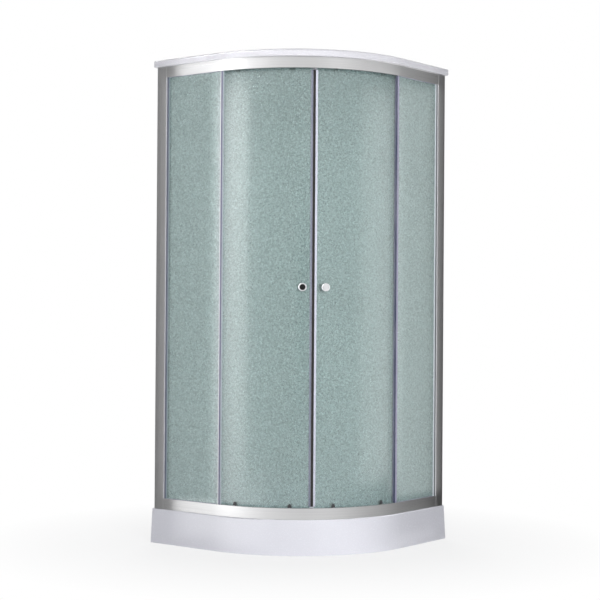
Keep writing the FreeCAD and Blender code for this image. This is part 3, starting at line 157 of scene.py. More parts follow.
def spread(tree, value, low, high, to_low=0.0, to_high=1.0):
    """Stretches low..high to to_low..to_high, and holds it there outside."""
    return wire(tree, "ShaderNodeMapRange", {"Value": value, "From Min": low, "From Max": high,
                                             "To Min": to_low, "To Max": to_high}).outputs["Result"]


def noise(tree, where, scale, detail=2.0, roughness=0.5):
    return wire(tree, "ShaderNodeTexNoise", {"Vector": where, "Scale": scale, "Detail": detail,
                                             "Roughness": roughness}).outputs["Fac"]


def blend_colours(tree, share, first, second):
    """Goes from the first colour to the second. Each is a colour or another node's socket."""
    made = wire(tree, "ShaderNodeMix", {0: share}, data_type="RGBA")
    for index, colour in zip(MIX_COLOURS, (first, second)):
        plain = not isinstance(colour, bpy.types.NodeSocket)
        feed(tree, (*colour, 1.0) if plain else colour, made.inputs[index])
    return made.outputs[MIX_RESULT]


def object_place(tree):
    return wire(tree, "ShaderNodeTexCoord").outputs["Object"]


def axes(tree, vector):
    return wire(tree, "ShaderNodeSeparateXYZ", {0: vector}).outputs


def bumped(tree, height, distance, strength=1.0):
    return wire(tree, "ShaderNodeBump", {"Height": height, "Distance": distance,
                                         "Strength": strength}).outputs["Normal"]


def new_effect(name, inputs, outputs):
    """An effect that several finishes share: a shader node group with named inputs and outputs."""
    group = bpy.data.node_groups.new(name, "ShaderNodeTree")
    for label, kind, default in inputs:
        group.interface.new_socket(label, in_out="INPUT", socket_type=kind).default_value = default
    for label in outputs:
        group.interface.new_socket(label, in_out="OUTPUT", socket_type="NodeSocketFloat")
    return group, group.nodes.new("NodeGroupInput").outputs, group.nodes.new("NodeGroupOutput").inputs


def use_effect(tree, group, **inputs):
    """Places a shared effect in a finish, with values of its own."""
    made = tree.nodes.new("ShaderNodeGroup")
    made.node_tree = group
    for label, value in inputs.items():
        made.inputs[label.replace("_", " ")].default_value = value
    return made.outputs


# Shared effects

def make_drawn_lines():
    """Fine lines that the die leaves along a drawn bar, and slow clouds in its anodising."""
    group, given, out = new_effect("drawn_lines", [("Stretch", "NodeSocketVector", (2.0, 2.0, 900.0))],
                                   ["Line", "Cloud"])
    where = object_place(group)
    along = wire(group, "ShaderNodeVectorMath", {0: where, 1: given["Stretch"]},
                 operation="MULTIPLY").outputs[0]
    feed(group, spread(group, noise(group, along, 1.0, 3.0, 0.6), 0.3, 0.7), out["Line"])
    feed(group, spread(group, noise(group, where, 7.0, 3.0), 0.3, 0.7), out["Cloud"])
    return group


def make_moulded_skin():
    """The faint orange peel of a moulded surface, and broad patches where it cooled unevenly."""
    group, given, out = new_effect("moulded_skin", [("Grain Size", "NodeSocketFloat", 300.0),
                                                    ("Patch Size", "NodeSocketFloat", 4.0)],
                                   ["Grain", "Patch"])
    where = object_place(group)
    feed(group, spread(group, noise(group, where, given["Grain Size"], 2.0), 0.25, 0.75), out["Grain"])
    feed(group, spread(group, noise(group, where, given["Patch Size"], 3.0), 0.3, 0.7), out["Patch"])
    return group


def make_settled_dust():
    """Dust that lies on what faces upwards, thicker in some places than in others."""
    group, given, out = new_effect("settled_dust", [("Most", "NodeSocketFloat", 0.1)], ["Dust"])
    normal = wire(group, "ShaderNodeNewGeometry").outputs["Normal"]
    upward = spread(group, axes(group, normal)["Z"], 0.75, 1.0)
    patch = spread(group, noise(group, object_place(group), 26.0, 5.0, 0.65), 0.35, 0.75)
    lying = compute(group, "MULTIPLY", upward, patch)
    feed(group, compute(group, "MULTIPLY", lying, given["Most"]), out["Dust"])
    return group


def make_dried_drops():
    """Faint rings that water drops leave when they dry."""
    group, given, out = new_effect("dried_drops", [("Drop Scale", "NodeSocketFloat", 70.0)], ["Ring"])
    where = object_place(group)
    cell = wire(group, "ShaderNodeTexVoronoi", {"Vector": where, "Scale": given["Drop Scale"],
                                                "Randomness": 1.0})
    edge = compute(group, "ABSOLUTE", compute(group, "SUBTRACT", cell.outputs["Distance"], 0.3))
    ring = spread(group, edge, 0.0, 0.06, 1.0, 0.0)
    few = spread(group, noise(group, where, 9.0, 2.0), 0.5, 0.6)
    feed(group, compute(group, "MULTIPLY", ring, few), out["Ring"])
    return group


def make_across_strip():
    """How far a point is across an upright strip, mirrored left and right: 0 at its start, 1 at its end."""
    group, given, out = new_effect("across_strip", [("Start", "NodeSocketFloat", 0.0),
                                                    ("End", "NodeSocketFloat", 1.0)], ["Across"])
    split = axes(group, object_place(group))
    on_right = compute(group, "GREATER_THAN", compute(group, "ADD", split["X"], split["Y"]), 0.0)
    mirrored = compute(group, "MULTIPLY", split["Y"], -1.0)
    place = wire(group, "ShaderNodeMix", {0: on_right, MIX_VALUES[0]: split["X"],
                                          MIX_VALUES[1]: mirrored}).outputs[0]
    feed(group, spread(group, place, given["Start"], given["End"]), out["Across"])
    return group


# Finishes

def new_finish(name, **plain):
    """A material whose uniform values are set on the shader's own sockets."""
    material = bpy.data.materials.new(name)
    material.use_nodes = True
    tree = material.node_tree
    shader = tree.nodes["Principled BSDF"]
    for label, value in plain.items():
        shader.inputs[label.replace("_", " ")].default_value = value
    return material, tree, shader.inputs


def gloss_white(name, light, shade, grain_size, roughness):
    """Glossy white acrylic: a clear skin, a faint orange peel, slow changes of tone and a little dust."""
    material, tree, shader = new_finish(name, Coat_Roughness=0.08, Coat_IOR=1.5, Coat_Weight=1.0)
    skin = use_effect(tree, moulded_skin, Grain_Size=grain_size, Patch_Size=3.5)
    dust = use_effect(tree, settled_dust, Most=0.12)["Dust"]
    clean = blend_colours(tree, skin["Patch"], shade, light)
    feed(tree, blend_colours(tree, dust, clean, (0.62, 0.60, 0.57)), shader["Base Color"])
    worn = spread(tree, skin["Grain"], 0.0, 1.0, roughness - 0.05, roughness + 0.07)
    feed(tree, compute(tree, "ADD", worn, compute(tree, "MULTIPLY", dust, 2.0)), shader["Roughness"])
    feed(tree, bumped(tree, skin["Grain"], 0.00012), shader["Normal"])
    return material


def wall_sheet_finish():
    """White rear wall sheet: smooth, with a very fine leather grain and the rings of dried drops."""
    material, tree, shader = new_finish("wall_sheet_white")
    skin = use_effect(tree, moulded_skin, Grain_Size=650.0, Patch_Size=2.5)
    ring = use_effect(tree, dried_drops, Drop_Scale=55.0)["Ring"]
    tone = blend_colours(tree, skin["Patch"], (0.74, 0.75, 0.77), (0.80, 0.80, 0.82))
    feed(tree, tone, shader["Base Color"])
    rough = spread(tree, skin["Grain"], 0.0, 1.0, 0.22, 0.34)
    feed(tree, compute(tree, "ADD", rough, compute(tree, "MULTIPLY", ring, 0.15)), shader["Roughness"])
    feed(tree, bumped(tree, skin["Grain"], 0.00015), shader["Normal"])
    return material


def drawn_aluminium(name, stretch, dark, light):
    """Satin anodised bar, with the die lines along its length."""
    material, tree, shader = new_finish(name, Metallic=1.0)
    drawn = use_effect(tree, drawn_lines, Stretch=stretch)
    dust = use_effect(tree, settled_dust, Most=0.15)["Dust"]
    tone = blend_colours(tree, drawn["Line"], dark, light)
    tone = blend_colours(tree, compute(tree, "MULTIPLY", drawn["Cloud"], 0.25), tone, dark)
    feed(tree, tone, shader["Base Color"])
    rough = spread(tree, drawn["Line"], 0.0, 1.0, 0.36, 0.27)
    feed(tree, compute(tree, "ADD", rough, dust), shader["Roughness"])
    feed(tree, bumped(tree, drawn["Line"], 0.00006), shader["Normal"])
    return material


def pebbled_glass():
    """Frosted sea-green glass with a cast pebble relief: close things show through, far ones blur."""
    material, tree, shader = new_finish("pebbled_glass", IOR=1.5, Transmission_Weight=0.80, Coat_Weight=1.0,
                                        Coat_Roughness=0.17, Coat_IOR=1.6)
    where = object_place(tree)
    drift = wire(tree, "ShaderNodeTexNoise", {"Vector": where, "Scale": 60.0,
                                              "Detail": 2.0}).outputs["Color"]
    pushed = wire(tree, "ShaderNodeVectorMath", {0: drift, 1: (0.012, 0.012, 0.012), 2: where},
                  operation="MULTIPLY_ADD").outputs[0]
    pebble = wire(tree, "ShaderNodeTexVoronoi", {"Vector": pushed, "Scale": 100.0, "Smoothness": 0.7},
                  feature="SMOOTH_F1").outputs["Distance"]
    frost = noise(tree, where, 420.0, 2.0, 0.6)
    relief = compute(tree, "ADD", pebble, compute(tree, "MULTIPLY", frost, 0.3))
    # The fine speckle of light and dark in the base colour is painted light: the glints and shade of the
    # pebble relief.
    painted_glint_speckle = spread(tree, noise(tree, where, 112.0, 1.5, 0.5), 0.36, 0.64)
    cloud = spread(tree, noise(tree, where, 6.0, 2.0), 0.3, 0.7)
    sheet = blend_colours(tree, cloud, (0.375, 0.50, 0.485), (0.405, 0.535, 0.515))
    fine = blend_colours(tree, painted_glint_speckle, (0.215, 0.295, 0.29), (0.565, 0.725, 0.70))
    feed(tree, blend_colours(tree, 0.56, sheet, fine), shader["Base Color"])
    feed(tree, spread(tree, frost, 0.3, 0.7, 0.22, 0.32), shader["Roughness"])
    feed(tree, bumped(tree, relief, 0.0014, 0.9), shader["Normal"])
    return material


def across_upright(start, end):
    """For a strip beside a flat pane."""
    return lambda tree: use_effect(tree, across_strip, Start=start, End=end)["Across"]


def across_meeting(half_width):
    """For the strips where the doors meet: 0 at the left edge of the pair, 1 at the right edge."""
    def place(tree):
        split = axes(tree, object_place(tree))
        along = compute(tree, "ADD", split["X"], split["Y"])
        reach = half_width * math.sqrt(2.0)
        return spread(tree, along, ARC_X + ARC_Y - reach, ARC_X + ARC_Y + reach)
    return place


def vinyl_with_painted_light_bands(name, across, bands):
    """Soft clear strip pushed over a glass edge, banded with painted light: pale lips that are painted
    highlights, and dark lines that are partly the edge inside it and partly painted shade.
    """
    material, tree, shader = new_finish(name, Transmission_Weight=0.15, IOR=1.45)
    ramp = tree.nodes.new("ShaderNodeValToRGB")
    stops = ramp.color_ramp.elements
    while len(stops) < len(bands):
        stops.new(1.0)
    for stop, (place, colour) in zip(stops, bands):
        stop.position = place
        stop.color = (*colour, 1.0)
    feed(tree, across(tree), ramp.inputs[0])
    skin = use_effect(tree, moulded_skin, Grain_Size=500.0, Patch_Size=6.0)
    haze = compute(tree, "MULTIPLY", skin["Patch"], 0.18)
    feed(tree, blend_colours(tree, haze, ramp.outputs[0], (0.62, 0.61, 0.70)), shader["Base Color"])
    feed(tree, spread(tree, skin["Grain"], 0.0, 1.0, 0.2, 0.34), shader["Roughness"])
    feed(tree, bumped(tree, skin["Grain"], 0.00008), shader["Normal"])
    return material


def door_vinyl():
    """Milky lilac vinyl of the strips on the door edges."""
    material, tree, shader = new_finish("door_strip_vinyl", Transmission_Weight=0.2, IOR=1.45)
    skin = use_effect(tree, moulded_skin, Grain_Size=450.0, Patch_Size=8.0)
    tone = blend_colours(tree, skin["Patch"], (0.44, 0.44, 0.56), (0.54, 0.54, 0.66))
    feed(tree, tone, shader["Base Color"])
    feed(tree, spread(tree, skin["Grain"], 0.0, 1.0, 0.22, 0.36), shader["Roughness"])
    feed(tree, bumped(tree, skin["Grain"], 0.00008), shader["Normal"])
    return material


def matt_moulding(name, dark, light, grain_size, roughness, depth):
    """Matt moulded plastic or rubber: a sparked grain, patches of tone and dust on its ledges."""
    material, tree, shader = new_finish(name)
    skin = use_effect(tree, moulded_skin, Grain_Size=grain_size, Patch_Size=18.0)
    dust = use_effect(tree, settled_dust, Most=0.3)["Dust"]
    tone = blend_colours(tree, skin["Patch"], dark, light)
    feed(tree, blend_colours(tree, dust, tone, (0.36, 0.35, 0.33)), shader["Base Color"])
    rough = spread(tree, skin["Grain"], 0.0, 1.0, roughness - 0.08, roughness + 0.1)
    feed(tree, rough, shader["Roughness"])
    feed(tree, bumped(tree, skin["Grain"], depth), shader["Normal"])
    return material


def chrome_plate():
    """Bright chrome plate, with faint rings of dried drops and the haze that wiping leaves."""
    material, tree, shader = new_finish("chrome_plate", Metallic=1.0)
    ring = use_effect(tree, dried_drops, Drop_Scale=160.0)["Ring"]
    skin = use_effect(tree, moulded_skin, Grain_Size=900.0, Patch_Size=30.0)
    tone = blend_colours(tree, skin["Patch"], (0.72, 0.73, 0.75), (0.80, 0.80, 0.82))
    feed(tree, tone, shader["Base Color"])
    haze = spread(tree, skin["Patch"], 0.0, 1.0, 0.05, 0.11)
    feed(tree, compute(tree, "ADD", haze, compute(tree, "MULTIPLY", ring, 0.12)), shader["Roughness"])
    feed(tree, bumped(tree, skin["Grain"], 0.00001), shader["Normal"])
    return material


def zinc_plate():
    """Zinc plated steel: spangled grey with a yellowish tone and dull patches."""
    material, tree, shader = new_finish("zinc_plate", Metallic=1.0)
    spangle = wire(tree, "ShaderNodeTexVoronoi", {"Vector": object_place(tree), "Scale": 260.0})
    flake = axes(tree, spangle.outputs["Color"])["X"]
    drawn = use_effect(tree, drawn_lines, Stretch=(40.0, 40.0, 40.0))
    tone = blend_colours(tree, flake, (0.46, 0.47, 0.49), (0.62, 0.62, 0.62))
    dulled = compute(tree, "MULTIPLY", drawn["Cloud"], 0.4)
    feed(tree, blend_colours(tree, dulled, tone, (0.55, 0.53, 0.46)), shader["Base Color"])
    feed(tree, spread(tree, flake, 0.0, 1.0, 0.28, 0.46), shader["Roughness"])
    feed(tree, bumped(tree, drawn["Line"], 0.00005), shader["Normal"])
    return material


def paint(material, *names):
    """Gives a finish to solids that keep their shape."""
    for name in names:
        for slot in nodes[name].material_slots:
            slot.material = material


# Small pieces that repeat

def new_tree(name, sizes):
    """A geometry tree with named inputs for its sizes and its finish."""
    tree = bpy.data.node_groups.new(name, "GeometryNodeTree")
    tree.interface.new_socket("Geometry", in_out="INPUT", socket_type="NodeSocketGeometry")
    for label, size in sizes.items():
        tree.interface.new_socket(label, in_out="INPUT", socket_type="NodeSocketFloat").default_value = size
    tree.interface.new_socket("Finish", in_out="INPUT", socket_type="NodeSocketMaterial")
    tree.interface.new_socket("Geometry", in_out="OUTPUT", socket_type="NodeSocketGeometry")
    return tree, tree.nodes.new("NodeGroupInput").outputs, tree.nodes.new("NodeGroupOutput").inputs


def point_at(tree, **parts):
    return wire(tree, "ShaderNodeCombineXYZ", parts).outputs[0]


def moved(tree, geometry, **change):
    return wire(tree, "GeometryNodeTransform", {"Geometry": geometry, **change}).outputs[0]


def set_on_points(tree, given, piece, out, **turn):
    """Every tree ends as one plain mesh: the piece on each point, with its finish on it."""
    placed = wire(tree, "GeometryNodeInstanceOnPoints", {"Points": given["Geometry"],
                                                         "Instance": piece, **turn})
    real = wire(tree, "GeometryNodeRealizeInstances", {0: placed.outputs[0]}).outputs[0]
    dressed = wire(tree, "GeometryNodeSetMaterial", {"Geometry": real, "Material": given["Finish"]})
    feed(tree, dressed.outputs[0], out[0])


def grow(name, tree, points, values, facings=None):
    """Runs a tree on loose points and keeps the result as a plain mesh object."""
    seed = bpy.data.meshes.new(name + "_places")
    seed.from_pydata([tuple(p) for p in points], [], [])
    if facings is not None:
        facing = seed.attributes.new("facing", "FLOAT_VECTOR", "POINT")
        for item, direction in zip(facing.data, facings):
            item.vector = direction
    base = bpy.data.objects.new(name + "_places", seed)
    scene.collection.objects.link(base)
    modifier = base.modifiers.new("build", "NODES")
    modifier.node_group = tree
    for item in tree.interface.items_tree:
        if item.item_type == "SOCKET" and item.in_out == "INPUT" and item.name in values:
            modifier[item.identifier] = values[item.name]
    graph = bpy.context.evaluated_depsgraph_get()
    mesh = bpy.data.meshes.new_from_object(base.evaluated_get(graph), depsgraph=graph)
    base.modifiers.remove(modifier)
    bpy.data.objects.remove(base)
    mesh.name = name
    made = bpy.data.objects.new(name, mesh)
    scene.collection.objects.link(made)
    return made


def stud_tree():
    """A low round stud on each point, for a floor that isn't slippery."""
    tree, given, out = new_tree("floor_studs", STUD_SIZES)
    dome = wire(tree, "GeometryNodeMeshUVSphere", {"Segments": 12, "Rings": 5, "Radius": given["Radius"]})
    squash = compute(tree, "DIVIDE", given["Rise"], given["Radius"])
    flat = moved(tree, dome.outputs[0], Scale=point_at(tree, X=1.0, Y=1.0, Z=squash))
    smooth = wire(tree, "GeometryNodeSetShadeSmooth", {0: flat}).outputs[0]
    set_on_points(tree, given, smooth, out)
    return tree


def nozzle_tree():
    """A small tapered spray nozzle that points down from each point."""
    tree, given, out = new_tree("spray_nozzles", NOZZLE_SIZES)
    cone = wire(tree, "GeometryNodeMeshCone", {"Vertices": 12, "Radius Top": given["Base Radius"],
                                               "Radius Bottom": given["Tip Radius"], "Depth": given["Drop"]})
    down = compute(tree, "MULTIPLY", given["Drop"], -1.0)
    hung = moved(tree, cone.outputs[0], Translation=point_at(tree, Z=down))
    set_on_points(tree, given, hung, out)
    return tree


def thread_tree():
    """A ridge that winds up a leg from each point, for the thread that sets its height."""
    tree, given, out = new_tree("leg_threads", THREAD_SIZES)
    helix = wire(tree, "GeometryNodeCurveSpiral", {"Resolution": 20, "Rotations": given["Turns"],
                                                   "Start Radius": given["Radius"],
                                                   "End Radius": given["Radius"], "Height": given["Rise"]})
    profile = wire(tree, "GeometryNodeCurvePrimitiveCircle", {"Resolution": 4, "Radius": given["Ridge"]})
    ridge = wire(tree, "GeometryNodeCurveToMesh", {"Curve": helix.outputs[0], "Fill Caps": True,
                                                   "Profile Curve": profile.outputs[0]})
    set_on_points(tree, given, ridge.outputs[0], out)
    return tree


def screw_tree():
    """A pan head screw with a cross recess at each point, turned to the way the point faces."""
    tree, given, out = new_tree("cross_screws", SCREW_SIZES)
    radius, height = given["Head Radius"], given["Head Height"]
    head = wire(tree, "GeometryNodeMeshCone", {"Vertices": 24, "Radius Bottom": radius, "Depth": height,
                                               "Radius Top": compute(tree, "MULTIPLY", radius, 0.72)})
    recess = wire(tree, "GeometryNodeMeshBoolean", {0: head.outputs[0]}, operation="DIFFERENCE")
    long_side = compute(tree, "MULTIPLY", radius, 1.1)
    short_side = compute(tree, "MULTIPLY", radius, 0.22)
    for width, depth in ((long_side, short_side), (short_side, long_side)):
        bar = wire(tree, "GeometryNodeMeshCube", {"Size": point_at(tree, X=width, Y=depth, Z=height)})
        feed(tree, moved(tree, bar.outputs[0], Translation=point_at(tree, Z=height)), recess.inputs[1])
    shank = wire(tree, "GeometryNodeMeshCone", {"Vertices": 12, "Radius Bottom": given["Shank Radius"],
                                                "Radius Top": given["Shank Radius"],
                                                "Depth": given["Shank Length"]})
    below = compute(tree, "MULTIPLY", given["Shank Length"], -1.0)
    joined = tree.nodes.new("GeometryNodeJoinGeometry")
    feed(tree, moved(tree, shank.outputs[0], Translation=point_at(tree, Z=below)), joined.inputs[0])
    feed(tree, recess.outputs[0], joined.inputs[0])
    facing = wire(tree, "GeometryNodeInputNamedAttribute", {"Name": "facing"}, data_type="FLOAT_VECTOR")
    turn = wire(tree, "FunctionNodeAlignRotationToVector", {"Vector": facing.outputs[0]}, axis="Z")
    set_on_points(tree, given, joined.outputs[0], out, Rotation=turn.outputs[0])
    return tree


def add_floor_studs(material):
    """Studs on the flat of the basin, clear of the waste and of the rounded edge."""
    points = []
    for row in range(-STUD_REACH, STUD_REACH + 1):
        for column in range(-STUD_REACH, STUD_REACH + 1):
            x = (column + 0.5 * (row % 2)) * STUD_PITCH
            y = row * STUD_PITCH * STUD_ROW_RATIO
            inside = BASIN_FLAT_X[0] < x < BASIN_FLAT_X[1] and BASIN_FLAT_Y[0] < y < BASIN_FLAT_Y[1]
            beyond_arc = math.hypot(x - ARC_X, y - ARC_Y) > BASIN_FLAT_RADIUS
            rounded = x > ARC_X and y < ARC_Y and beyond_arc
            if inside and not rounded and (Vector((x, y)) - WASTE_PLACE).length > WASTE_CLEARANCE:
                points.append((x, y, BASIN_FLOOR))
    made = grow("basin_studs", stud_tree(), points, {**STUD_SIZES, "Finish": material})
    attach(made, "cabin")


def add_spray_nozzles(material):
    """Three rings of nozzles, and one in the middle, under the shower head."""
    low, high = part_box("shower_head")
    centre_x, centre_y = (low.x + high.x) / 2, (low.y + high.y) / 2
    points = [(centre_x, centre_y, low.z)]
    for radius, count in NOZZLE_RINGS:
        for index in range(count):
            angle = 2 * math.pi * (index + 0.5) / count
            points.append((centre_x + radius * math.cos(angle), centre_y + radius * math.sin(angle), low.z))
    made = grow("spray_nozzles", nozzle_tree(), points, {**NOZZLE_SIZES, "Finish": material})
    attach(made, "shower_head")


def add_leg_threads(material):
    """The thread of each leg, between its pad and its lock nut."""
    points = [(x, y, THREAD_START) for x, y in LEG_PLACES]
    made = grow("leg_threads", thread_tree(), points, {**THREAD_SIZES, "Finish": material})
    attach(made, "cabin")


def add_wall_screws(material):
    """Screws with a cross in place of the plain ones on the rear faces of the posts."""
    points, facings = [], []
    for height in SCREW_HEIGHTS:
        for place, facing in SCREW_ROWS:
            points.append((*place, height))
            facings.append(facing)
    made = grow("wall_screw_heads", screw_tree(), points, {**SCREW_SIZES, "Finish": material}, facings)
    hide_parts("wall_screws")
    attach(made, "cabin")


# Studio

def seen_ray(tree):
    """1 for rays that show the background: straight to the camera, mirrored, or through glass."""
    path = wire(tree, "ShaderNodeLightPath").outputs
    shown = compute(tree, "MAXIMUM", path["Is Camera Ray"], path["Is Glossy Ray"])
    return compute(tree, "MAXIMUM", shown, path["Is Transmission Ray"])


def add_world():
    """White where it is seen, and a faint cool fill light for the rest."""
    world = bpy.data.worlds.new("white_studio")
    scene.world = world
    world.use_nodes = True
    tree = world.node_tree
    tree.nodes.clear()
    fill = wire(tree, "ShaderNodeBackground", {"Color": (0.95, 0.97, 1.0, 1.0), "Strength": 0.19}).outputs[0]
    white = wire(tree, "ShaderNodeBackground", {"Color": WHITE, "Strength": 1.0}).outputs[0]
    mixed = wire(tree, "ShaderNodeMixShader", {0: seen_ray(tree), 1: fill, 2: white}).outputs[0]
    wire(tree, "ShaderNodeOutputWorld", {"Surface": mixed})


def bare_paper(name, mesh):
    """An empty material on a studio mesh. Returns its tree."""
    material = bpy.data.materials.new(name)
    material.use_nodes = True
    material.node_tree.nodes.clear()
    mesh.materials.append(material)
    return material.node_tree


def add_floor():
    """Plain pale floor that takes the shadow and fades into the white of the studio."""
    mesh = bpy.data.meshes.new("studio_floor")
    work = bmesh.new()
    bmesh.ops.create_circle(work, cap_ends=True, radius=FLOOR_RADIUS, segments=96)
    work.to_mesh(mesh)
    work.free()
    mesh.transform(Matrix.Translation((0.0, 0.0, -FLOOR_DROP)))
    floor = bpy.data.objects.new("studio_floor", mesh)
    scene.collection.objects.link(floor)
    tree = bare_paper("pale_floor", mesh)
    paper = wire(tree, "ShaderNodeBsdfDiffuse", {"Color": (0.86, 0.86, 0.87, 1.0)}).outputs[0]
    white = wire(tree, "ShaderNodeEmission", {"Color": WHITE, "Strength": 1.0}).outputs[0]
    reach = wire(tree, "ShaderNodeVectorMath", {0: object_place(tree)}, operation="LENGTH").outputs["Value"]
    fade = spread(tree, reach, FADE_START, FADE_END, SHADOW_WHITE, 1.0)
    share = compute(tree, "MULTIPLY", fade, seen_ray(tree))
    mixed = wire(tree, "ShaderNodeMixShader", {0: share, 1: paper, 2: white}).outputs[0]
    wire(tree, "ShaderNodeOutputMaterial", {"Surface": mixed})


def heading(degrees, distance, height):
    """A point round the object: 0 degrees is +X, and the doors meet at 315."""
    angle = math.radians(degrees)
    return Vector((distance * math.cos(angle), distance * math.sin(angle), height))


def add_softbox(name, place, aim, width, height, power, spread_degrees=180.0):
    """An area lamp that mirrors don't show. Its grid keeps the light within the given spread."""
    light = bpy.data.lights.new(name, "AREA")
    light.shape = "RECTANGLE"
    light.size, light.size_y = width, height
    light.energy = power
    light.spread = math.radians(spread_degrees)
    lamp = bpy.data.objects.new(name, light)
    turn = (aim - place).to_track_quat("-Z", "Y").to_matrix().to_4x4()
    lamp.matrix_world = Matrix.Translation(place) @ turn
    lamp.visible_camera = lamp.visible_glossy = lamp.visible_transmission = False
    scene.collection.objects.link(lamp)


def show_to_mirrors(name, mesh, tones):
    """Makes a mesh a card, light or dark, that only mirror-like surfaces see, with a tone at each point."""
    tone = mesh.attributes.new("tone", "FLOAT", "POINT")
    tone.data.foreach_set("value", tones)
    card = bpy.data.objects.new(name, mesh)
    scene.collection.objects.link(card)
    tree = bare_paper(name + "_paper", mesh)
    level = wire(tree, "ShaderNodeAttribute", attribute_name="tone").outputs["Fac"]
    glow = wire(tree, "ShaderNodeEmission", {"Color": WHITE, "Strength": level}).outputs[0]
    wire(tree, "ShaderNodeOutputMaterial", {"Surface": glow})
    for kind in ("camera", "diffuse", "transmission", "volume_scatter", "shadow"):
        setattr(card, "visible_" + kind, False)


def add_card(name, low, high, *stations):
    """An upright card beside the set. Each station is a point on the floor with the card's tone there,
    or its tones at the foot and at the top."""
    mesh = bpy.data.meshes.new(name)
    last = len(stations) - 1
    foot = [(x, y, low) for x, y, *tones in stations]
    top = [(x, y, high) for x, y, *tones in stations]
    mesh.from_pydata(foot + top, [], [(i, i + 1, i + last + 2, i + last + 1) for i in range(last)])
    show_to_mirrors(name, mesh, [station[2] for station in stations] + [station[-1] for station in stations])


def add_floor_card(name, *corners):
    """A card that lies on the floor. Each corner has a tone of its own."""
    mesh = bpy.data.meshes.new(name)
    mesh.from_pydata([(x, y, FLOOR_CARD_LIFT) for x, y, tone in corners], [], [tuple(range(len(corners)))])
    show_to_mirrors(name, mesh, [tone for x, y, tone in corners])


def add_lamps():
    """Three softboxes round the cabin, and small gridded ones aimed at the roof's rim and the skirt."""
    middle = Vector((0.0, 0.0, 1.0))
    add_softbox("front_softbox", heading(318.0, 3.6, 1.75), middle, 2.4, 2.2, 98.0)
    add_softbox("left_softbox", heading(255.0, 2.6, 2.0), middle, 1.0, 2.0, 6.0)
    add_softbox("rear_softbox", heading(135.0, 3.4, 2.3), middle, 2.2, 2.2, 70.0)
    left_rim, right_rim = Vector((-0.15, -0.42, 2.2)), Vector((0.42, 0.22, 2.2))
    add_softbox("left_roof_softbox", heading(262.0, 2.6, 2.9), left_rim, 0.5, 0.5, 0.45, 20.0)
    add_softbox("right_roof_softbox", heading(8.0, 2.6, 2.9), right_rim, 0.5, 0.5, 0.3, 20.0)
    skirt = Vector((0.43, -0.07, 0.07))
    add_softbox("right_skirt_softbox", heading(300.0, 3.0, 0.5), skirt, 0.3, 0.3, 0.045, 8.0)


def add_left_cards():
    """What the left pane, post and rails mirror: light further off, and darker cards close by."""
    add_card("left_low_light", 0.0, 0.15, (-1.06, -1.34, 2.0), (-0.70, -1.46, 2.5), (-0.25, -1.62, 2.2),
             (0.10, -1.66, 1.9), (0.45, -1.70, 1.2))
    add_card("left_glass_light", 0.15, 2.10, (-1.02, -1.35, 2.2, 3.4), (-0.60, -1.50, 2.4, 3.9),
             (-0.25, -1.62, 2.1, 3.3))
    add_card("left_high_light", 2.10, 2.40, (-1.30, -1.26, 0.5), (-0.70, -1.46, 0.9, 0.7),
             (-0.25, -1.62, 1.1, 0.9), (0.10, -1.66, 1.2), (0.40, -1.70, 1.2))
    add_card("left_roof_light", 2.40, 3.6, (-1.30, -1.26, 3.2), (-0.70, -1.46, 4.0), (-0.25, -1.62, 3.6),
             (0.10, -1.66, 2.0), (0.40, -1.70, 1.3))
    add_card("left_pane_card", PANE_LOW, PANE_HIGH, (-0.466, LEFT_FLAG_Y, 0.70), (-0.191, LEFT_FLAG_Y, 0.70))
    add_card("left_post_flag", 0.0, CARD_TOP, (-1.10, LEFT_FLAG_Y, 0.22, 0.25),
             (-0.468, LEFT_FLAG_Y, 0.22, 0.25))
    add_card("left_low_flag", 0.0, PANE_LOW, (-0.462, LEFT_FLAG_Y, 0.20), (-0.40, LEFT_FLAG_Y, 0.30))
    add_card("left_high_flag", PANE_HIGH, CARD_TOP, (-0.462, LEFT_FLAG_Y, 0.15), (-0.40, LEFT_FLAG_Y, 0.25))


def add_right_cards():
    """The same for the right side, where the rails and the post are darker."""
    add_card("right_low_flag", 0.0, 0.20, (RIGHT_CARD_X, -0.50, 0.95), (RIGHT_CARD_X, 0.10, 0.40),
             (RIGHT_CARD_X, 0.85, 0.06), (RIGHT_CARD_X, 1.15, 0.0), (RIGHT_CARD_X, 1.90, 0.0))
    add_card("right_high_flag", 2.0, 2.7, (RIGHT_CARD_X, -0.50, 1.20), (RIGHT_CARD_X, 0.10, 0.70),
             (RIGHT_CARD_X, 0.85, 0.40), (RIGHT_CARD_X, 1.15, 0.14), (RIGHT_CARD_X, 1.90, 0.08))
    add_card("right_glass_light", 0.20, 2.0, (RIGHT_CARD_X, 0.0, 1.1), (RIGHT_CARD_X, 0.12, 1.6),
             (RIGHT_CARD_X, 0.80, 1.6))
    add_card("right_pane_card", PANE_LOW, PANE_HIGH, (RIGHT_PANE_X, 0.222, 0.75), (RIGHT_PANE_X, 0.52, 0.75))
    add_card("right_post_flag", 0.0, CARD_TOP, (RIGHT_FLAG_X, 0.53, 0.0, 0.08),
             (RIGHT_FLAG_X, 1.20, 0.0, 0.08))


def add_front_cards():
    """Dark cards on the floor by the skirt's ends, and in front, where the doors mirror the camera."""
    add_floor_card("right_floor_flag", (0.47, -0.10, 1.1), (0.94, -0.40, 1.1), (0.94, 1.60, 0.0),
                   (0.47, 0.47, 0.0))
    add_floor_card("left_floor_flag", (-0.47, -0.47, 0.0), (-1.60, -0.94, 0.0), (-0.10, -0.94, 0.9),
                   (-0.02, -0.47, 0.9))
    add_card("camera_flag", 0.62, 1.66, *[(*heading(angle, 5.0, 0.0).xy, 0.03) for angle in (306.0, 318.5)])
    shade = ((300.0, 1.0), (306.0, 0.75), (312.0, 0.70), (320.0, 0.70), (326.0, 0.85), (330.0, 1.0))
    add_card("front_shade", 0.0, 2.1, *[(*heading(angle, 5.1, 0.0).xy, tone) for angle, tone in shade])


# Put together

add_camera()

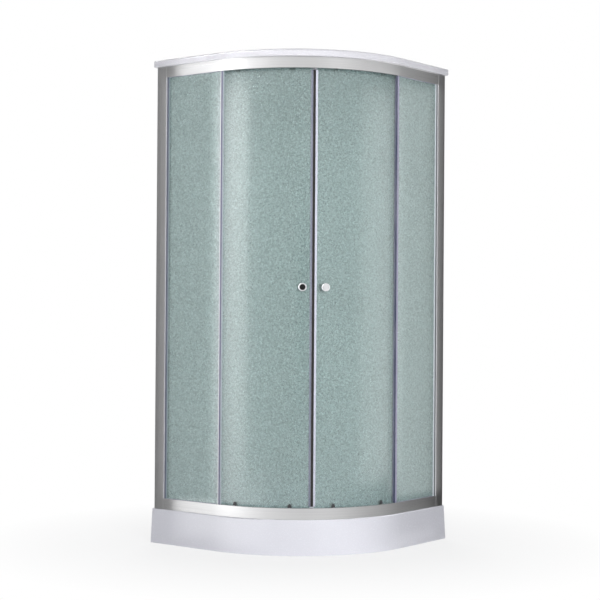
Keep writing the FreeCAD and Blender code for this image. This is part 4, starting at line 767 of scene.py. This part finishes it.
drawn_lines = make_drawn_lines()
moulded_skin = make_moulded_skin()
settled_dust = make_settled_dust()
dried_drops = make_dried_drops()
across_strip = make_across_strip()

tray_white = gloss_white("tray_acrylic", (0.775, 0.775, 0.835), (0.745, 0.745, 0.805), 260.0, 0.24)
roof_white = gloss_white("roof_acrylic", (0.72, 0.715, 0.76), (0.69, 0.685, 0.73), 260.0, 0.26)
wall_white = wall_sheet_finish()
rail_metal = drawn_aluminium("rail_aluminium", (2.0, 2.0, 900.0), (0.58, 0.58, 0.59), (0.72, 0.72, 0.72))
# The posts are a little darker than the rails: painted shade.
post_metal = drawn_aluminium("post_aluminium", (900.0, 900.0, 2.0), (0.56, 0.56, 0.57), (0.70, 0.70, 0.70))
glass = pebbled_glass()
# The bands of the strips beside the flat panes are painted light for how each side is lit, so the left and
# right copies differ: the pale lips are painted highlights, and the near-black cores are partly the glass
# edge and partly painted shade.
post_vinyl = {
    "left": vinyl_with_painted_light_bands("left_post_strip_vinyl", across_upright(*POST_STRIP), [
        (0.0, (0.90, 0.90, 0.93)), (0.20, (0.76, 0.77, 0.84)), (0.28, (0.09, 0.10, 0.15)),
        (0.50, (0.11, 0.13, 0.19)), (0.75, (0.24, 0.29, 0.36)), (1.0, (0.34, 0.44, 0.45))]),
    "right": vinyl_with_painted_light_bands("right_post_strip_vinyl", across_upright(*POST_STRIP), [
        (0.0, (0.95, 0.96, 0.97)), (0.26, (0.93, 0.95, 0.97)), (0.34, (0.02, 0.03, 0.05)),
        (0.66, (0.03, 0.04, 0.06)), (0.74, (0.86, 0.91, 0.96)), (1.0, (0.88, 0.93, 0.97))])}
edge_vinyl = {
    "left": vinyl_with_painted_light_bands("left_edge_vinyl", across_upright(*EDGE_STRIP), [
        (0.0, (0.95, 0.96, 0.97)), (0.26, (0.93, 0.94, 0.97)), (0.36, (0.17, 0.17, 0.28)),
        (0.90, (0.11, 0.11, 0.20)), (0.97, (0.42, 0.46, 0.52)), (1.0, (0.54, 0.60, 0.65))]),
    "right": vinyl_with_painted_light_bands("right_edge_vinyl", across_upright(*EDGE_STRIP), [
        (0.0, (0.46, 0.46, 0.56)), (0.30, (0.42, 0.40, 0.56)), (0.85, (0.40, 0.38, 0.54)),
        (0.95, (0.05, 0.06, 0.12)), (1.0, (0.05, 0.06, 0.12))])}
# Across the pair where the doors meet, the left strip is painted dark as painted shade and the right strip
# pale as painted light; the darker lines within are partly the edges inside and partly painted shade.
meeting_vinyl = vinyl_with_painted_light_bands("meeting_strip_vinyl", across_meeting(MEETING_HALF_WIDTH), [
    (0.0, (0.27, 0.30, 0.36)), (0.10, (0.15, 0.17, 0.24)), (0.20, (0.15, 0.17, 0.24)),
    (0.27, (0.29, 0.29, 0.35)), (0.40, (0.24, 0.24, 0.29)), (0.66, (0.30, 0.30, 0.35)),
    (0.76, (0.66, 0.68, 0.80)), (1.0, (0.72, 0.74, 0.86))])
strip_vinyl = door_vinyl()
rubber = matt_moulding("dark_rubber", (0.05, 0.05, 0.05), (0.075, 0.072, 0.07), 700.0, 0.62, 0.00006)
magnet = matt_moulding("magnet_rubber", (0.010, 0.009, 0.009), (0.016, 0.014, 0.013), 800.0, 0.6, 0.00005)
shoe_plastic = matt_moulding("shoe_plastic", (0.05, 0.05, 0.055), (0.075, 0.075, 0.08), 900.0, 0.48, 0.00005)
wheel_plastic = matt_moulding("wheel_plastic", (0.46, 0.46, 0.47), (0.56, 0.56, 0.56), 900.0, 0.42, 0.00004)
black_plastic = matt_moulding("black_plastic", (0.02, 0.02, 0.021), (0.034, 0.034, 0.035), 700.0, 0.5,
                              0.00006)
trap_plastic = matt_moulding("trap_plastic", (0.56, 0.56, 0.55), (0.66, 0.66, 0.65), 600.0, 0.45, 0.00006)
chrome = chrome_plate()
zinc = zinc_plate()

paint(tray_white, "shower_tray")
paint(roof_white, "roof_canopy")
paint(wall_white, "rear_left_wall", "rear_right_wall")
paint(rail_metal, "bottom_rail", "top_rail")
paint(post_metal, "left_post", "right_post", "rear_corner_column")
paint(chrome, "drain_cover", "mixer_body", "mixer_unions", "mixer_rosettes", "mixer_swivel", "mixer_lever",
      "riser_pipe", "riser_brackets", "shower_head")
paint(zinc, "support_bars", "threaded_legs", "leg_lock_nuts", "wall_screws")
paint(rubber, "door_stops")
paint(black_plastic, "foot_pads")
paint(trap_plastic, "drain_trap", "drain_flange")
for side in ("left", "right"):
    paint(glass, f"{side}_door_glass", f"{side}_fixed_glass")
    paint(post_vinyl[side], f"{side}_post_gasket")
    paint(edge_vinyl[side], f"{side}_fixed_seal")
    paint(meeting_vinyl, f"{side}_magnet_profile")
    paint(strip_vinyl, f"{side}_trailing_seal", f"{side}_rail_gaskets")
    paint(magnet, f"{side}_magnet_strip")
    paint(chrome, f"{side}_outer_knob")
    paint(black_plastic, f"{side}_inner_knob")
    paint(zinc, f"{side}_knob_bolt")
    paint(shoe_plastic, f"{side}_roller_shoes")
    for level in ("lower", "upper"):
        for end in ("lead", "trail"):
            paint(wheel_plastic, f"{side}_{level}_{end}_wheel")
    # The glass throws no shadow, and the doors mirror the cards past the fixed pane and its seal.
    for pane in ("door_glass", "fixed_glass"):
        nodes[f"{side}_{pane}"].visible_shadow = False
    for pane in ("fixed_glass", "fixed_seal"):
        nodes[f"{side}_{pane}"].visible_glossy = False

add_floor_studs(tray_white)
add_spray_nozzles(black_plastic)
add_leg_threads(zinc)
add_wall_screws(zinc)

add_world()
add_floor()
add_lamps()
add_left_cards()
add_right_cards()
add_front_cards()

scene.view_settings.view_transform = "Standard"
